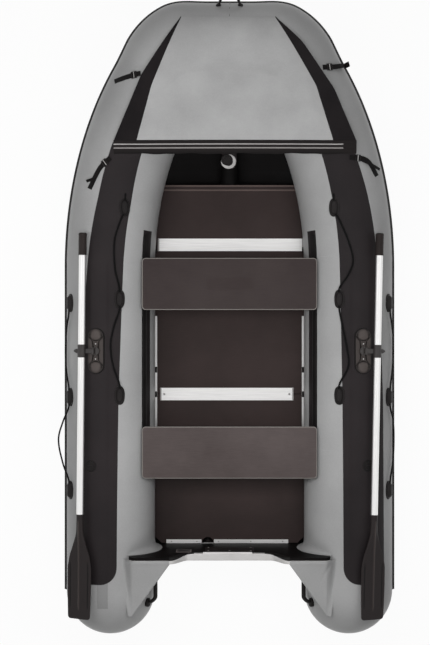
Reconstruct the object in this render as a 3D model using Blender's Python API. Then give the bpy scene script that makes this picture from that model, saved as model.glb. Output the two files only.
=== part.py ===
"""Inflatable boat with a plywood floor, a raised bow, a dodger and two oars.

Metres, +Z up. +Y points to the bow and +X to starboard. The origin is on the ground, under the
middle of the boat. The port side mirrors the starboard side.
"""

import math

import bmesh
import bpy
from mathutils import Matrix, Vector
from mathutils.bvhtree import BVHTree

# Fits
GAP = 0.0003  # between pieces that touch
SKIN = 0.0012  # coated fabric
RUNNING = 0.0006  # round a piece that slides or turns

# Hull tubes
HULL_LENGTH = 2.967  # strake at the bow to the stern tips
HANDLE_REACH = 0.02  # bow handle ahead of the strake
TUBE_RADIUS = 0.21
TUBE_SPACING = 1.134  # between the two tubes' centre lines
TUBE_SIDES = 24
STRAKE_THICK = 0.008
STRAKE_HEIGHT = 0.042
BEND_Y = 0.25  # the tubes are straight aft of here
BOW_LIFT = 0.25
SHEER_POWER = 1.8
FRONT_HALF = 0.1  # straight front of the bow, to each side
CORNER_TURN = math.radians(52)
CORNER_INNER = 0.03  # radius of the inside of the bow's corner
CORNER_BULGE = 0.07
BOW_HANDLE_LENGTH = 0.27  # of the curve's handle at the bow end
BEND_HANDLE_LENGTH = 0.37  # and at the straight end

STERN_Y = -(HULL_LENGTH + HANDLE_REACH) / 2
STRAKE_FRONT_Y = HULL_LENGTH + STERN_Y
FRONT_Y = STRAKE_FRONT_Y - STRAKE_THICK - GAP
FRONT_CENTRE_Y = FRONT_Y - TUBE_RADIUS
CAP_Y = STERN_Y + TUBE_RADIUS
TUBE_X = TUBE_SPACING / 2
STEP = 2 * math.pi / TUBE_SIDES
FLAT = math.cos(STEP / 2)  # a facet's middle lies on the round tube, its corners stand out

# Bottom and keel
KEEL_Z = 0.008
KEEL_RISE_Y = 0.5
KEEL_TUBE_RADIUS = 0.0523  # it fills the space under the joiners
KEEL_STRIP_WIDTH = 0.06
KEEL_STRIP_THICK = 0.003
KEEL_SLOPE = 0.0776  # the bottom's rise from the keel line to the tubes
FLAP_ANGLE = -10.5 * STEP  # bottom's glued flap, from here
LEAVE_ANGLE = -9.5 * STEP  # to here, where it leaves the tube
ROW_SPACE = 0.006  # least distance between rows at the bow

# Floor
FLOOR_TOP = 0.125
BOARD = 0.009
FLOOR_CLEAR = 0.005171  # between the boards' edges and the tubes
FLOOR_HALF = TUBE_X - math.sqrt(TUBE_RADIUS**2 - (TUBE_RADIUS - FLOOR_TOP) ** 2) - FLOOR_CLEAR
FORE_NARROWS = 0.0058  # each side of the mid board, where the tubes begin to close in
BOW_NARROWS = 0.019  # each side of the bow board
FLOOR_FORE_HALF = FLOOR_HALF - FORE_NARROWS
FLOOR_BOW_HALF = FLOOR_FORE_HALF - BOW_NARROWS
FLOOR_BOW_Y = 0.6545
JOINT_PITCH = 0.7215
FORE_JOINT_Y = 0.3655
JOINER_WIDTH = 0.06
JOINER_WALL = 0.0018
FORE_JOINER_INSETS = (0.0238, 0.0138)  # its ends from the board's edges, port and starboard
AFT_JOINER_INSETS = (0.0348, 0.0608)
STRINGER_FLANGE = 0.022
STRINGER_AFT_Y = -0.7335
STRINGER_FORE_Y = 0.0215
SILL_WIDTH = 0.018
SILL_INSETS = (0.0643, 0.0858)  # its ends from the board's edges, port and starboard

# Transom
TRANSOM_Y = -1.0694  # inner face at ground level
TRANSOM_RAKE = math.radians(4)
TRANSOM_THICK = 0.027
WELL_Z = 0.372
SHOULDER_Z = 0.455
WELL_HALF = 0.19
SHOULDER_X = 0.276
TRANSOM_HALF = 0.468
EDGING_WALL = 0.0025
EDGING_LEG = 0.018
KNEE_INNER_X = 0.283
KNEE_OUTER_X = 0.463
KNEE_AFT_Y = -1.375
KNEE_TIP_Z = 0.378
KNEE_THICK = 0.026
PAD_HALF = 0.115
INNER_PAD_LOW = 0.25
INNER_PAD_THICK = 0.008
OUTER_PAD_LOW = 0.16
OUTER_PAD_THICK = 0.005
DRAIN_X = -0.105
DRAIN_Z = 0.085
DRAIN_RADIUS = 0.0175

# Benches and their rails
BENCH_WIDTH = 0.244
BENCH_THICK = 0.012
BENCH_CORNER = 0.017
FRONT_BENCH_Y = 0.1707
REAR_BENCH_Y = -0.6193
RAIL_ANGLE = -3.5 * STEP
RAIL_HALF_WIDTH = 0.018
RIDGE_X = TUBE_X + TUBE_RADIUS / FLAT * math.sin(RAIL_ANGLE)  # the tube's corner under the rail
RIDGE_Z = TUBE_RADIUS + TUBE_RADIUS / FLAT * math.cos(RAIL_ANGLE)
BENCH_RISE = 0.029057  # underside of the benches above the ridge
BENCH_OVERHANG = 0.011542  # ends of the benches outboard of the ridge
BENCH_Z = RIDGE_Z + BENCH_RISE
BENCH_LENGTH = 2 * (RIDGE_X + BENCH_OVERHANG)
RAIL_AFT_Y = -0.72
RAIL_TRACK_Y = 0.3
RAIL_FORE_Y = 0.4276
RAIL_THICK = 0.003
BEAD_RADIUS = 0.004
BEAD_HEIGHT = 0.0105
RUNNER_LENGTH = 0.18

# Rowing gear
ROWLOCK_Y = -0.1427
ROWLOCK_ANGLE = STEP
BASE_LENGTH = 0.214
BASE_WIDTH = 0.081
SHAFT_RADIUS = 0.0165
SHAFT_WALL = 0.0015
OAR_ANGLE = math.radians(29)
OAR_CLEAR = 0.04  # shaft's centre above the fabric
OAR_LIFT = TUBE_RADIUS + OAR_CLEAR
OAR_FORE_Y = 0.407
OAR_AFT_Y = -1.39
GRIP_LENGTH = 0.104
BLADE_LENGTH = 0.49
BLADE_WIDTH = 0.13
PORT_OAR_YAW = math.radians(-0.6)
STARBOARD_OAR_YAW = math.radians(-1.2)

# Small fittings
VALVE_Y = -0.679
VALVE_ANGLE = 1.5 * STEP
VALVE_RADIUS = 0.028
VALVE_BARREL = 0.0235
VALVE_BORE = 0.0175
VALVE_TOP = 0.0042  # flange above the fabric
INNER_HOLDER_ANGLE = -STEP
OUTER_HOLDER_ANGLE = 4 * STEP
INNER_HOLDERS_Y = (0.56, 0.0994, -0.35)
OUTER_HOLDERS_Y = (0.082, -0.3614, -0.8006)
HOLDER_LENGTH = 0.088
HOLDER_WIDTH = 0.05
ROPE_RADIUS = 0.004
ROPE_HEIGHT = 0.0105  # rope's centre above the holder's seat
ROPE_ROOM = 0.0023  # round the rope in a holder
HANDLE_LENGTH = 0.18
HANDLE_WIDTH = 0.036
BOW_HANDLE_WIDTH = 0.142
STERN_HANDLE_Y = -1.262

# Dodger
HEM_BACK = 0.6495  # hem's fore edge aft of the strake's front
HEM_Y = STRAKE_FRONT_Y - HEM_BACK
HEM_WIDTH = 0.0575
HEM_HALF = 0.533
DODGER_SKEW = 0.025  # it lies this far to starboard at the hem
DODGER_THICK = 0.005
DODGER_CROWN = 0.012
STRAP_WIDTH = 0.025
STRAP_THICK = 0.0025
BUCKLE_HEIGHT = 0.008


def clear_scene():
    for item in list(bpy.data.objects):
        bpy.data.objects.remove(item, do_unlink=True)


def material(name, colour, roughness, metallic=0.0):
    """A Principled material in one colour."""
    made = bpy.data.materials.new(name)
    made.use_nodes = True
    shader = made.node_tree.nodes["Principled BSDF"]
    shader.inputs["Base Color"].default_value = (*colour, 1.0)
    shader.inputs["Roughness"].default_value = roughness
    shader.inputs["Metallic"].default_value = metallic
    return made


clear_scene()
GREY_FABRIC = material("grey_fabric", (0.27, 0.27, 0.27), 0.45)
COVER_FABRIC = material("cover_fabric", (0.33, 0.33, 0.33), 0.6)
BLACK_FABRIC = material("black_fabric", (0.022, 0.02, 0.02), 0.5)
BLACK_PLASTIC = material("black_plastic", (0.015, 0.014, 0.014), 0.4)
PLYWOOD = material("film_faced_plywood", (0.042, 0.033, 0.032), 0.35)
PAINTED_WOOD = material("grey_painted_wood", (0.45, 0.44, 0.44), 0.4)
ALUMINIUM = material("aluminium", (0.8, 0.8, 0.8), 0.3, 1.0)
STEEL = material("stainless_steel", (0.6, 0.6, 0.6), 0.25, 1.0)
RUBBER = material("black_rubber", (0.02, 0.018, 0.018), 0.6)
WEBBING = material("black_webbing", (0.012, 0.012, 0.012), 0.8)


# Mesh helpers


def make(name, mesh_data, look, origin=(0, 0, 0), smooth=35):
    """Turns a bmesh into a named object whose origin is at the given point."""
    origin = Vector(origin)
    bmesh.ops.translate(mesh_data, verts=mesh_data.verts, vec=-origin)
    bmesh.ops.recalc_face_normals(mesh_data, faces=mesh_data.faces)
    mesh = bpy.data.meshes.new(name)
    mesh_data.to_mesh(mesh)
    mesh_data.free()
    mesh.shade_smooth()
    mesh.set_sharp_from_angle(angle=math.radians(smooth))
    mesh.materials.append(look)
    made = bpy.data.objects.new(name, mesh)
    made.location = origin
    bpy.context.scene.collection.objects.link(made)
    return made


def hidden(name, mesh_data):
    """A cutter or a helper, left out of renders."""
    made = make(name, mesh_data, BLACK_PLASTIC)
    made.hide_render = True
    made.display_type = "WIRE"
    return made


def boolean(target, other, operation):
    modifier = target.modifiers.new(operation.title(), "BOOLEAN")
    modifier.operation = operation
    modifier.solver = "EXACT"
    modifier.object = other


def cut(target, other):
    boolean(target, other, "DIFFERENCE")


def axes(origin, x_axis, y_axis):
    """A placing matrix from its origin and its first two axes."""
    x_axis = Vector(x_axis).normalized()
    z_axis = x_axis.cross(Vector(y_axis)).normalized()
    y_axis = z_axis.cross(x_axis)
    turn = Matrix((x_axis, y_axis, z_axis)).transposed().to_4x4()
    return Matrix.Translation(origin) @ turn


def add_loft(mesh_data, rings, ends=True):
    """Joins rings of points into a skin, and closes both ends with a face or a point."""
    rows = [[mesh_data.verts.new(p) for p in ring] for ring in rings]
    for near, far in zip(rows, rows[1:]):
        count = max(len(near), len(far))
        for i in range(count):
            j = (i + 1) % count
            corners = [near[i % len(near)], near[j % len(near)]]
            corners += [far[j % len(far)], far[i % len(far)]]
            mesh_data.faces.new(list(dict.fromkeys(corners)))
    if ends:
        for row in (rows[0], rows[-1]):
            if len(row) > 2:
                mesh_data.faces.new(row)
    return [v for row in rows for v in row]


def add_prism(mesh_data, outline, depth, place=Matrix()):
    """Extrudes a flat outline by depth, along the place's own Z."""
    low = [place @ Vector((x, y, 0)) for x, y in outline]
    high = [place @ Vector((x, y, depth)) for x, y in outline]
    add_loft(mesh_data, [low, high])


def add_box(mesh_data, low, high, place=Matrix()):
    corners = ((low[0], low[1]), (high[0], low[1]), (high[0], high[1]), (low[0], high[1]))
    add_prism(mesh_data, corners, high[2] - low[2], place @ Matrix.Translation((0, 0, low[2])))


def add_turned(mesh_data, profile, place=Matrix(), sides=16):
    """Turns a profile of (radius, height) round the place's own Z."""
    rings = []
    for radius, height in profile:
        count = 1 if radius == 0 else sides
        turns = [2 * math.pi * (i + 0.5) / sides for i in range(count)]
        rings.append([place @ Vector((radius * math.cos(t), radius * math.sin(t), height)) for t in turns])
    add_loft(mesh_data, rings)


def add_ring(mesh_data, profile, place=Matrix(), sides=16):
    """Turns a closed profile of (radius, height) that never meets the axis."""
    loops = []
    for i in range(sides):
        t = 2 * math.pi * (i + 0.5) / sides
        loop = [place @ Vector((r * math.cos(t), r * math.sin(t), h)) for r, h in profile]
        loops.append([mesh_data.verts.new(p) for p in loop])
    for near, far in zip(loops, loops[1:] + loops[:1]):
        for i in range(len(profile)):
            j = (i + 1) % len(profile)
            mesh_data.faces.new((near[i], near[j], far[j], far[i]))


def rounded(length, width, radius, steps=3):
    """The outline of a rectangle with round corners, length along X."""
    points = []
    for sx, sy, start in ((1, 1, 0), (-1, 1, 90), (-1, -1, 180), (1, -1, 270)):
        cx, cy = sx * (length / 2 - radius), sy * (width / 2 - radius)
        for i in range(steps + 1):
            turn = math.radians(start + 90 * i / steps)
            points.append((cx + radius * math.cos(turn), cy + radius * math.sin(turn)))
    return points


def mirrored(mesh_data):
    """A port copy of a starboard mesh."""
    copy = mesh_data.copy()
    bmesh.ops.transform(copy, matrix=Matrix.Scale(-1, 4, (1, 0, 0)), verts=copy.verts)
    bmesh.ops.reverse_faces(copy, faces=copy.faces)
    return copy


def kept(mesh_data):
    """A plain copy of a starboard mesh."""
    return mesh_data.copy()


def make_pair(name, mesh_data, look):
    """The starboard piece and its port mirror image, as two objects."""
    port = make("port_" + name, mirrored(mesh_data), look)
    return port, make("starboard_" + name, mesh_data, look)


# Hull form


def bezier(p0, p1, p2, p3, t):
    """A point on a cubic curve, and its direction."""
    s = 1 - t
    point = s**3 * p0 + 3 * s * s * t * p1 + 3 * s * t * t * p2 + t**3 * p3
    along = s * s * (p1 - p0) + 2 * s * t * (p2 - p1) + t * t * (p3 - p2)
    return point, along.normalized()


def sheer(y):
    """Height of the tube's centre and its slope, for a centre at y."""
    run = FRONT_CENTRE_Y - BEND_Y
    share = max(0.0, (y - BEND_Y) / run)
    height = TUBE_RADIUS + BOW_LIFT * share**SHEER_POWER
    slope = BOW_LIFT * SHEER_POWER * share ** (SHEER_POWER - 1) / run if share > 0 else 0.0
    return height, slope


PIVOT = Vector((FRONT_HALF, FRONT_Y - 2 * TUBE_RADIUS - CORNER_INNER))
OUT = Vector((math.sin(CORNER_TURN), math.cos(CORNER_TURN)))
BEND_START = Vector((TUBE_X, BEND_Y))
BEND_END = PIVOT + (CORNER_INNER + TUBE_RADIUS) * OUT
BEND_HOLD = BEND_START + Vector((0, BEND_HANDLE_LENGTH))
BOW_HOLD = BEND_END + BOW_HANDLE_LENGTH * Vector((OUT.y, -OUT.x))


class Station:
    """One upright cross-section of the starboard tube."""

    def __init__(self, centre, out, half=TUBE_RADIUS, scale=1.0):
        height, slope = sheer(centre.y)
        stretch = math.sqrt(1 + (slope * out.x) ** 2)
        self.centre = Vector((centre.x, centre.y, height))
        self.out = Vector((out.x, out.y, 0))
        self.wide = half * scale
        self.tall = TUBE_RADIUS * stretch * scale

    def point(self, angle, lift=0.0):
        """A point at an angle from the top, outboard positive, on the facets' corners."""
        across = (self.wide + lift) / FLAT * math.sin(angle)
        up = (self.tall + lift) / FLAT * math.cos(angle)
        return self.centre + across * self.out + Vector((0, 0, up))

    def ring(self, lift=0.0):
        return [self.point((i + 0.5) * STEP, lift) for i in range(TUBE_SIDES)]


def straight_station(y):
    return Station(Vector((TUBE_X, y)), Vector((1, 0)))


def bend_station(t):
    """From the straight tube, t = 0, to the bow's corner, t = 1."""
    centre, along = bezier(BEND_START, BEND_HOLD, BOW_HOLD, BEND_END, t)
    return Station(centre, Vector((along.y, -along.x)))


def corner_station(turn):
    """In the bow's corner the sections fan out round its inside."""
    out = Vector((math.sin(turn), math.cos(turn)))
    half = TUBE_RADIUS * (1 + CORNER_BULGE * math.sin(math.pi * turn / CORNER_TURN))
    return Station(PIVOT + (CORNER_INNER + half) * out, out, half)


def front_station(x):
    return Station(Vector((x, FRONT_CENTRE_Y)), Vector((0, 1)))


def hull_station(y):
    """The section whose centre is at y, on the straight or in the bend."""
    if y <= BEND_Y:
        return straight_station(y)
    low, high = 0.0, 1.0
    for _ in range(30):
        middle = (low + high) / 2
        if bend_station(middle).centre.y < y:
            low = middle
        else:
            high = middle
    return bend_station((low + high) / 2)


STRAIGHT_STATIONS = [straight_station(CAP_Y + (BEND_Y - CAP_Y) * i / 3) for i in range(3)]
BEND_STATIONS = [bend_station(i / 8) for i in range(9)]
CORNER_STATIONS = [corner_station(CORNER_TURN * (1 - i / 4)) for i in range(1, 5)]
SIDE_STATIONS = STRAIGHT_STATIONS + BEND_STATIONS + CORNER_STATIONS


def cap_rings(lift):
    """The round stern end, from its tip."""
    rings = [[Vector((TUBE_X, CAP_Y - TUBE_RADIUS - lift, TUBE_RADIUS))]]
    for i in (1, 2, 3):
        turn = math.pi / 2 * (1 - i / 4)
        share = (TUBE_RADIUS + lift) * math.cos(turn) / TUBE_RADIUS
        centre = Vector((TUBE_X, CAP_Y - (TUBE_RADIUS + lift) * math.sin(turn)))
        rings.append(Station(centre, Vector((1, 0)), scale=share).ring())
    return rings


def side_rings(lift, last_x):
    rings = cap_rings(lift)
    rings += [s.ring(lift) for s in SIDE_STATIONS]
    rings.append(front_station(last_x).ring(lift))
    return rings


def tube_skin(lift, last_x):
    """The starboard tube's surface in triangles, so that every copy bends alike."""
    mesh_data = bmesh.new()
    add_loft(mesh_data, side_rings(lift, last_x), ends=False)
    bmesh.ops.triangulate(mesh_data, faces=mesh_data.faces, quad_method="FIXED")
    return mesh_data


def hull_solid(lift):
    """Both tubes as one closed body, grown by lift: a cutter for what sits on them."""
    whole = tube_skin(lift, 0.0)
    half = bpy.data.meshes.new("half")
    mirrored(whole).to_mesh(half)
    whole.from_mesh(half)
    bmesh.ops.remove_doubles(whole, verts=whole.verts, dist=0.00001)
    return whole


def tube_place(angle, y, lift=0.0):
    """On the straight tube: Z out of it, Y forward, X outboard and down."""
    normal = Vector((math.sin(angle), 0, math.cos(angle)))
    across = Vector((math.cos(angle), 0, -math.sin(angle)))
    station = hull_station(y)
    origin = station.centre + (TUBE_RADIUS + lift) * normal
    return axes(origin, across, (0, 1, sheer(y)[1]))


HULL_CUTTER = hidden("hull_cutter", hull_solid(GAP))
WELD_CUTTER = hidden("weld_cutter", hull_solid(-SKIN / 2))  # what is welded on reaches into the skin
HULL_SHAPE = hull_solid(0.0)
bmesh.ops.recalc_face_normals(HULL_SHAPE, faces=HULL_SHAPE.faces)
HULL_TREE = BVHTree.FromBMesh(HULL_SHAPE)


def tube_top(x, y):
    """Height of the hull's top at a place, or None over the cockpit."""
    hit = HULL_TREE.ray_cast(Vector((x, y, 2)), Vector((0, 0, -1)))
    return hit[0].z if hit[0] else None


# Tubes, baffle and strake


def valve_place(lift=0.0):
    """On top of the starboard tube, turned to the valve's own axis."""
    normal = Vector((math.sin(VALVE_ANGLE), 0, math.cos(VALVE_ANGLE)))
    across = Vector((math.cos(VALVE_ANGLE), 0, -math.sin(VALVE_ANGLE)))
    origin = Vector((TUBE_X, VALVE_Y, TUBE_RADIUS)) + (TUBE_RADIUS / FLAT + lift) * normal
    return axes(origin, across, (0, 1, 0))


def add_pad(mesh_data, layers, place):
    """A loft of rounded rectangles: (length along Y, width, corner radius, height)."""
    rings = []
    for length, width, radius, height in layers:
        outline = rounded(length, width, radius)
        rings.append([place @ Vector((b, a, height)) for a, b in outline])
    add_loft(mesh_data, rings)


def add_valve(mesh_data, place, depth):
    """A valve's flange and barrel, before they are bored."""
    profile = [(VALVE_RADIUS - 0.001, VALVE_TOP), (VALVE_RADIUS, VALVE_TOP - 0.0012), (VALVE_RADIUS, -0.004)]
    profile += [(VALVE_BARREL, -0.0042), (VALVE_BARREL, -depth)]
    add_turned(mesh_data, [(0, VALVE_TOP)] + profile + [(0, -depth)], place, 20)


def add_bore(mesh_data, place, radius, depth, sides=20):
    profile = [(0, 0.03), (radius, 0.03), (radius, -depth), (0, -depth)]
    add_turned(mesh_data, profile, place, sides)


def holder_places():
    """Where the grab lines' holders sit on the starboard tube."""
    places = [tube_place(INNER_HOLDER_ANGLE, y) for y in INNER_HOLDERS_Y]
    return places + [tube_place(OUTER_HOLDER_ANGLE, y) for y in OUTER_HOLDERS_Y]


def build_tubes():
    """Hollow fabric tubes, open at the baffle, with the valve and rope holders welded on."""
    skin = tube_skin(0.0, SKIN / 2 + GAP)
    pads, valve, bores = bmesh.new(), bmesh.new(), bmesh.new()
    for place in holder_places():
        layers = [(HOLDER_LENGTH, HOLDER_WIDTH, 0.024, -0.015), (HOLDER_LENGTH, HOLDER_WIDTH, 0.024, 0.004)]
        layers += [(0.074, 0.036, 0.0175, 0.007), (0.06, 0.025, 0.012, 0.016)]
        layers += [(0.052, 0.016, 0.0075, 0.019)]
        add_pad(pads, layers, place)
        tunnel = ROPE_RADIUS + ROPE_ROOM
        tunnel_place = place @ axes((0, 0.06, ROPE_HEIGHT), (1, 0, 0), (0, 0, 1))
        add_turned(bores, [(0, 0), (tunnel, 0), (tunnel, 0.12), (0, 0.12)], tunnel_place, 10)
    add_valve(valve, valve_place(), 0.016)
    add_bore(bores, valve_place(), VALVE_BORE, 0.03)
    for side, turn in (("port", mirrored), ("starboard", kept)):
        tube = make(side + "_tube", turn(skin), GREY_FABRIC)
        wall = tube.modifiers.new("Wall", "SOLIDIFY")
        wall.thickness = SKIN
        wall.offset = -1
        holders = hidden(side + "_rope_holders", turn(pads))
        cut(holders, WELD_CUTTER)
        boolean(tube, holders, "UNION")
        boolean(tube, hidden(side + "_valve_body", turn(valve)), "UNION")
        cut(tube, hidden(side + "_bores", turn(bores)))


def build_baffle():
    mesh_data = bmesh.new()
    ring = front_station(0.0).ring(-SKIN / 2)
    half = Vector((SKIN / 2, 0, 0))
    add_loft(mesh_data, [[p - half for p in ring], [p + half for p in ring]])
    make("bow_baffle", mesh_data, BLACK_FABRIC)


def build_strake():
    """A rubbing strip on the outermost facet, round the bow from cone to cone."""
    profile = ((-0.5, GAP), (0.5, GAP), (0.36, 0.6 * STRAKE_THICK), (0.16, STRAKE_THICK))
    profile += ((-0.16, STRAKE_THICK), (-0.36, 0.6 * STRAKE_THICK))
    stations = SIDE_STATIONS + [front_station(0.0)]
    starboard = []
    for station in stations:
        stretch = station.tall / TUBE_RADIUS
        ring = []
        for share, lift in profile:
            outward = station.centre + (station.wide + lift) * station.out
            ring.append(outward + Vector((0, 0, share * STRAKE_HEIGHT * stretch)))
        starboard.append(ring)
    port = [[Vector((-p.x, p.y, p.z)) for p in ring] for ring in starboard[:-1]]
    mesh_data = bmesh.new()
    add_loft(mesh_data, port + starboard[::-1])
    make("rubbing_strake", mesh_data, RUBBER)


# Bottom and keel


def keel_line(y):
    """Height of the bottom skin's middle."""
    end = front_station(0.0).point(LEAVE_ANGLE, GAP)
    share = max(0.0, (y - KEEL_RISE_Y) / (end.y - KEEL_RISE_Y))
    return KEEL_Z + (end.z - KEEL_Z) * share**2


def bottom_rows():
    """Rows across the bottom: flap, where it leaves the tube, keel line and the mirror of these."""
    stations = [straight_station(y) for y in (TRANSOM_Y - TRANSOM_THICK, -0.4)] + BEND_STATIONS
    stations += CORNER_STATIONS
    rows = []
    end_y = front_station(0.0).point(LEAVE_ANGLE, GAP).y
    for i, station in enumerate(stations):
        flap, leave = station.point(FLAP_ANGLE, GAP), station.point(LEAVE_ANGLE, GAP)
        keel_y = min(leave.y, end_y - ROW_SPACE * (len(stations) - 1 - i))
        keel = Vector((0, keel_y, keel_line(keel_y)))
        row = [flap, leave, leave.lerp(keel, 0.5), keel]
        row += [Vector((-p.x, p.y, p.z)) for p in reversed(row[:-1])]
        rows.append(row)
    return rows


KEEL_POINTS = [row[3] for row in bottom_rows()]


def between(y, points):
    """Linear interpolation in (y, value) pairs."""
    for (y0, value0), (y1, value1) in zip(points, points[1:]):
        if y <= y1:
            break
    return value0 + (value1 - value0) * (y - y0) / (y1 - y0)


def keel_height(y):
    """Top of the bottom skin on the keel line, between its rows."""
    return between(y, [(p.y, p.z) for p in KEEL_POINTS])


def build_bottom():
    mesh_data = bmesh.new()
    grid = [[mesh_data.verts.new(p) for p in row] for row in bottom_rows()]
    for near, far in zip(grid, grid[1:]):
        for i in range(len(near) - 1):
            mesh_data.faces.new((near[i], near[i + 1], far[i + 1], far[i]))
    skin = make("bottom_skin", mesh_data, BLACK_FABRIC)
    if skin.data.polygons[0].normal.z > 0:
        skin.data.flip_normals()
    wall = skin.modifiers.new("Wall", "SOLIDIFY")
    wall.thickness = SKIN
    wall.offset = 1
    strip = bmesh.new()
    half, top, low = KEEL_STRIP_WIDTH / 2, SKIN / 2, SKIN + KEEL_STRIP_THICK
    rings = []
    for y in [TRANSOM_Y] + [p.y for p in KEEL_POINTS[1:-5]]:
        z = keel_height(y)
        side = KEEL_SLOPE * half
        across = ((-half, side - top), (0, -top), (half, side - top))
        across += ((half * 0.8, side - low), (0, -low), (-half * 0.8, side - low))
        rings.append([Vector((x, y, z + drop)) for x, drop in across])
    add_loft(strip, rings)
    boolean(skin, hidden("keel_strip", strip), "UNION")


KEEL_AFT_Y = TRANSOM_Y + 0.012
KEEL_SEAT = 1.012  # the tube lies in a shallow V
KEEL_TUBE_PLACES = ((KEEL_AFT_Y, 0.5), (KEEL_AFT_Y + 0.02, 1), (-0.3, 1), (0.3, 1), (0.5, 1))
KEEL_TUBE_PLACES += ((0.6, 0.9), (0.655, 0.82), (0.75, 0.8), (0.85, 0.75), (0.93, 0.6), (0.97, 0.3))


def keel_tube_top(y):
    """Height of the keel tube's top, between the sections of its tapering end."""
    tops = []
    for place, share in KEEL_TUBE_PLACES:
        radius = KEEL_TUBE_RADIUS * share
        tops.append((place, keel_height(place) + GAP + radius * (1 + KEEL_SEAT)))
    return between(y, tops)


def build_keel():
    """An air tube along the middle of the bottom, under the floor."""
    rings = []
    for y, share in KEEL_TUBE_PLACES:
        radius = KEEL_TUBE_RADIUS * share
        height = keel_height(y) + GAP + radius * KEEL_SEAT
        ring = []
        for i in range(12):
            turn = 2 * math.pi * i / 12
            ring.append(Vector((radius * math.cos(turn), y, height + radius * math.sin(turn))))
        rings.append(ring)
    tube = bmesh.new()
    add_loft(tube, rings)
    make("keel_tube", tube, BLACK_FABRIC)


SLEEVE_AFT_Y = 0.731
SLEEVE_HALF = 0.036
SLEEVE_THICK = 0.022
KEEL_VALVE = (-0.012, 0.7725)


def build_sleeve():
    """The keel's filling sleeve, a flat tongue that lies on the keel tube."""
    rings = []
    for ahead, share in ((0, 0.5), (0.019, 0.9), (0.04, 1), (0.119, 1), (0.16, 0.8)):
        y = SLEEVE_AFT_Y + ahead
        low = keel_tube_top(y) + GAP
        ring = []
        for i in range(12):
            turn = 2 * math.pi * (i + 0.5) / 12
            across = SLEEVE_HALF * share * math.cos(turn)
            ring.append(Vector((across, y, low + SLEEVE_THICK / 2 * (1 + share * math.sin(turn)))))
        rings.append(ring)
    mesh_data = bmesh.new()
    add_loft(mesh_data, rings)
    sleeve = make("keel_inflation_sleeve", mesh_data, GREY_FABRIC)
    valve, bore = bmesh.new(), bmesh.new()
    add_valve(valve, keel_valve_place(), 0.012)
    add_bore(bore, keel_valve_place(), VALVE_BORE, 0.01)
    boolean(sleeve, hidden("keel_valve_body", valve), "UNION")
    cut(sleeve, hidden("keel_valve_bore", bore))


def keel_valve_place():
    """Square to the sleeve's top, which climbs towards the bow."""
    x, y = KEEL_VALVE
    low, high = keel_tube_top(y - 0.02), keel_tube_top(y + 0.02)
    return axes((x, y, (low + high) / 2 + SLEEVE_THICK), (1, 0, 0), (0, 0.04, high - low))


# Floor

AFT_JOINT_Y = FORE_JOINT_Y - JOINT_PITCH
JOINER_WEB = 0.0024
SILL_AFT_Y = TRANSOM_Y - 0.0077
DRAIN_NOTCH = 0.028
TAPER_Y = 0.2  # the mid board narrows ahead of here


def build_floorboards():
    """Three boards that push into the joiners; the aft one is notched for the drain."""
    edge = JOINER_WEB / 2 + GAP
    aft_y = SILL_AFT_Y + JOINER_WALL + GAP
    notch = []
    for i in range(9):
        turn = math.pi * i / 8
        notch.append((DRAIN_X + DRAIN_NOTCH * math.cos(turn), aft_y + DRAIN_NOTCH * math.sin(turn)))
    corner = 0.04
    aft = [(-FLOOR_HALF, AFT_JOINT_Y - edge), (-FLOOR_HALF, aft_y + corner)]
    aft += [(-FLOOR_HALF + corner, aft_y)] + notch[::-1] + [(FLOOR_HALF - corner, aft_y)]
    aft += [(FLOOR_HALF, aft_y + corner), (FLOOR_HALF, AFT_JOINT_Y - edge)]
    mid = [(-FLOOR_HALF, AFT_JOINT_Y + edge), (FLOOR_HALF, AFT_JOINT_Y + edge)]
    mid += [(FLOOR_HALF, TAPER_Y), (FLOOR_FORE_HALF, FORE_JOINT_Y - edge)]
    mid += [(-FLOOR_FORE_HALF, FORE_JOINT_Y - edge), (-FLOOR_HALF, TAPER_Y)]
    radius = 0.03
    bow = [(-FLOOR_FORE_HALF, FORE_JOINT_Y + edge), (FLOOR_FORE_HALF, FORE_JOINT_Y + edge)]
    for side in (1, -1):
        arc = []
        for i in range(4):
            turn = math.pi / 2 * i / 3
            x = FLOOR_BOW_HALF - radius + radius * math.cos(turn)
            arc.append((side * x, FLOOR_BOW_Y - radius + radius * math.sin(turn)))
        bow += arc[::side]
    for name, outline in (("bow", bow), ("mid", mid), ("aft", aft)):
        mesh_data = bmesh.new()
        add_prism(mesh_data, outline, BOARD, Matrix.Translation((0, 0, FLOOR_TOP - BOARD)))
        make(name + "_floorboard", mesh_data, PLYWOOD)


def h_section(width, web, wall, height):
    """Outline across an H-shaped extrusion: flanges above and below, a web between."""
    w, b, inner, outer = width / 2, web / 2, height / 2, height / 2 + wall
    right = [(b, -inner), (w, -inner), (w, -outer)]
    left = [(-w, -outer), (-w, -inner), (-b, -inner), (-b, inner), (-w, inner), (-w, outer)]
    return right[:2] + [right[2]] + left + [(w, outer), (w, inner), (b, inner)]


def c_section(width, wall, height):
    """Outline across a channel that opens towards -X, its back at X = 0."""
    inner, outer = height / 2, height / 2 + wall
    channel = [(0, -outer), (0, outer), (-width, outer), (-width, inner)]
    return channel + [(-wall, inner), (-wall, -inner), (-width, -inner), (-width, -outer)]


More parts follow.
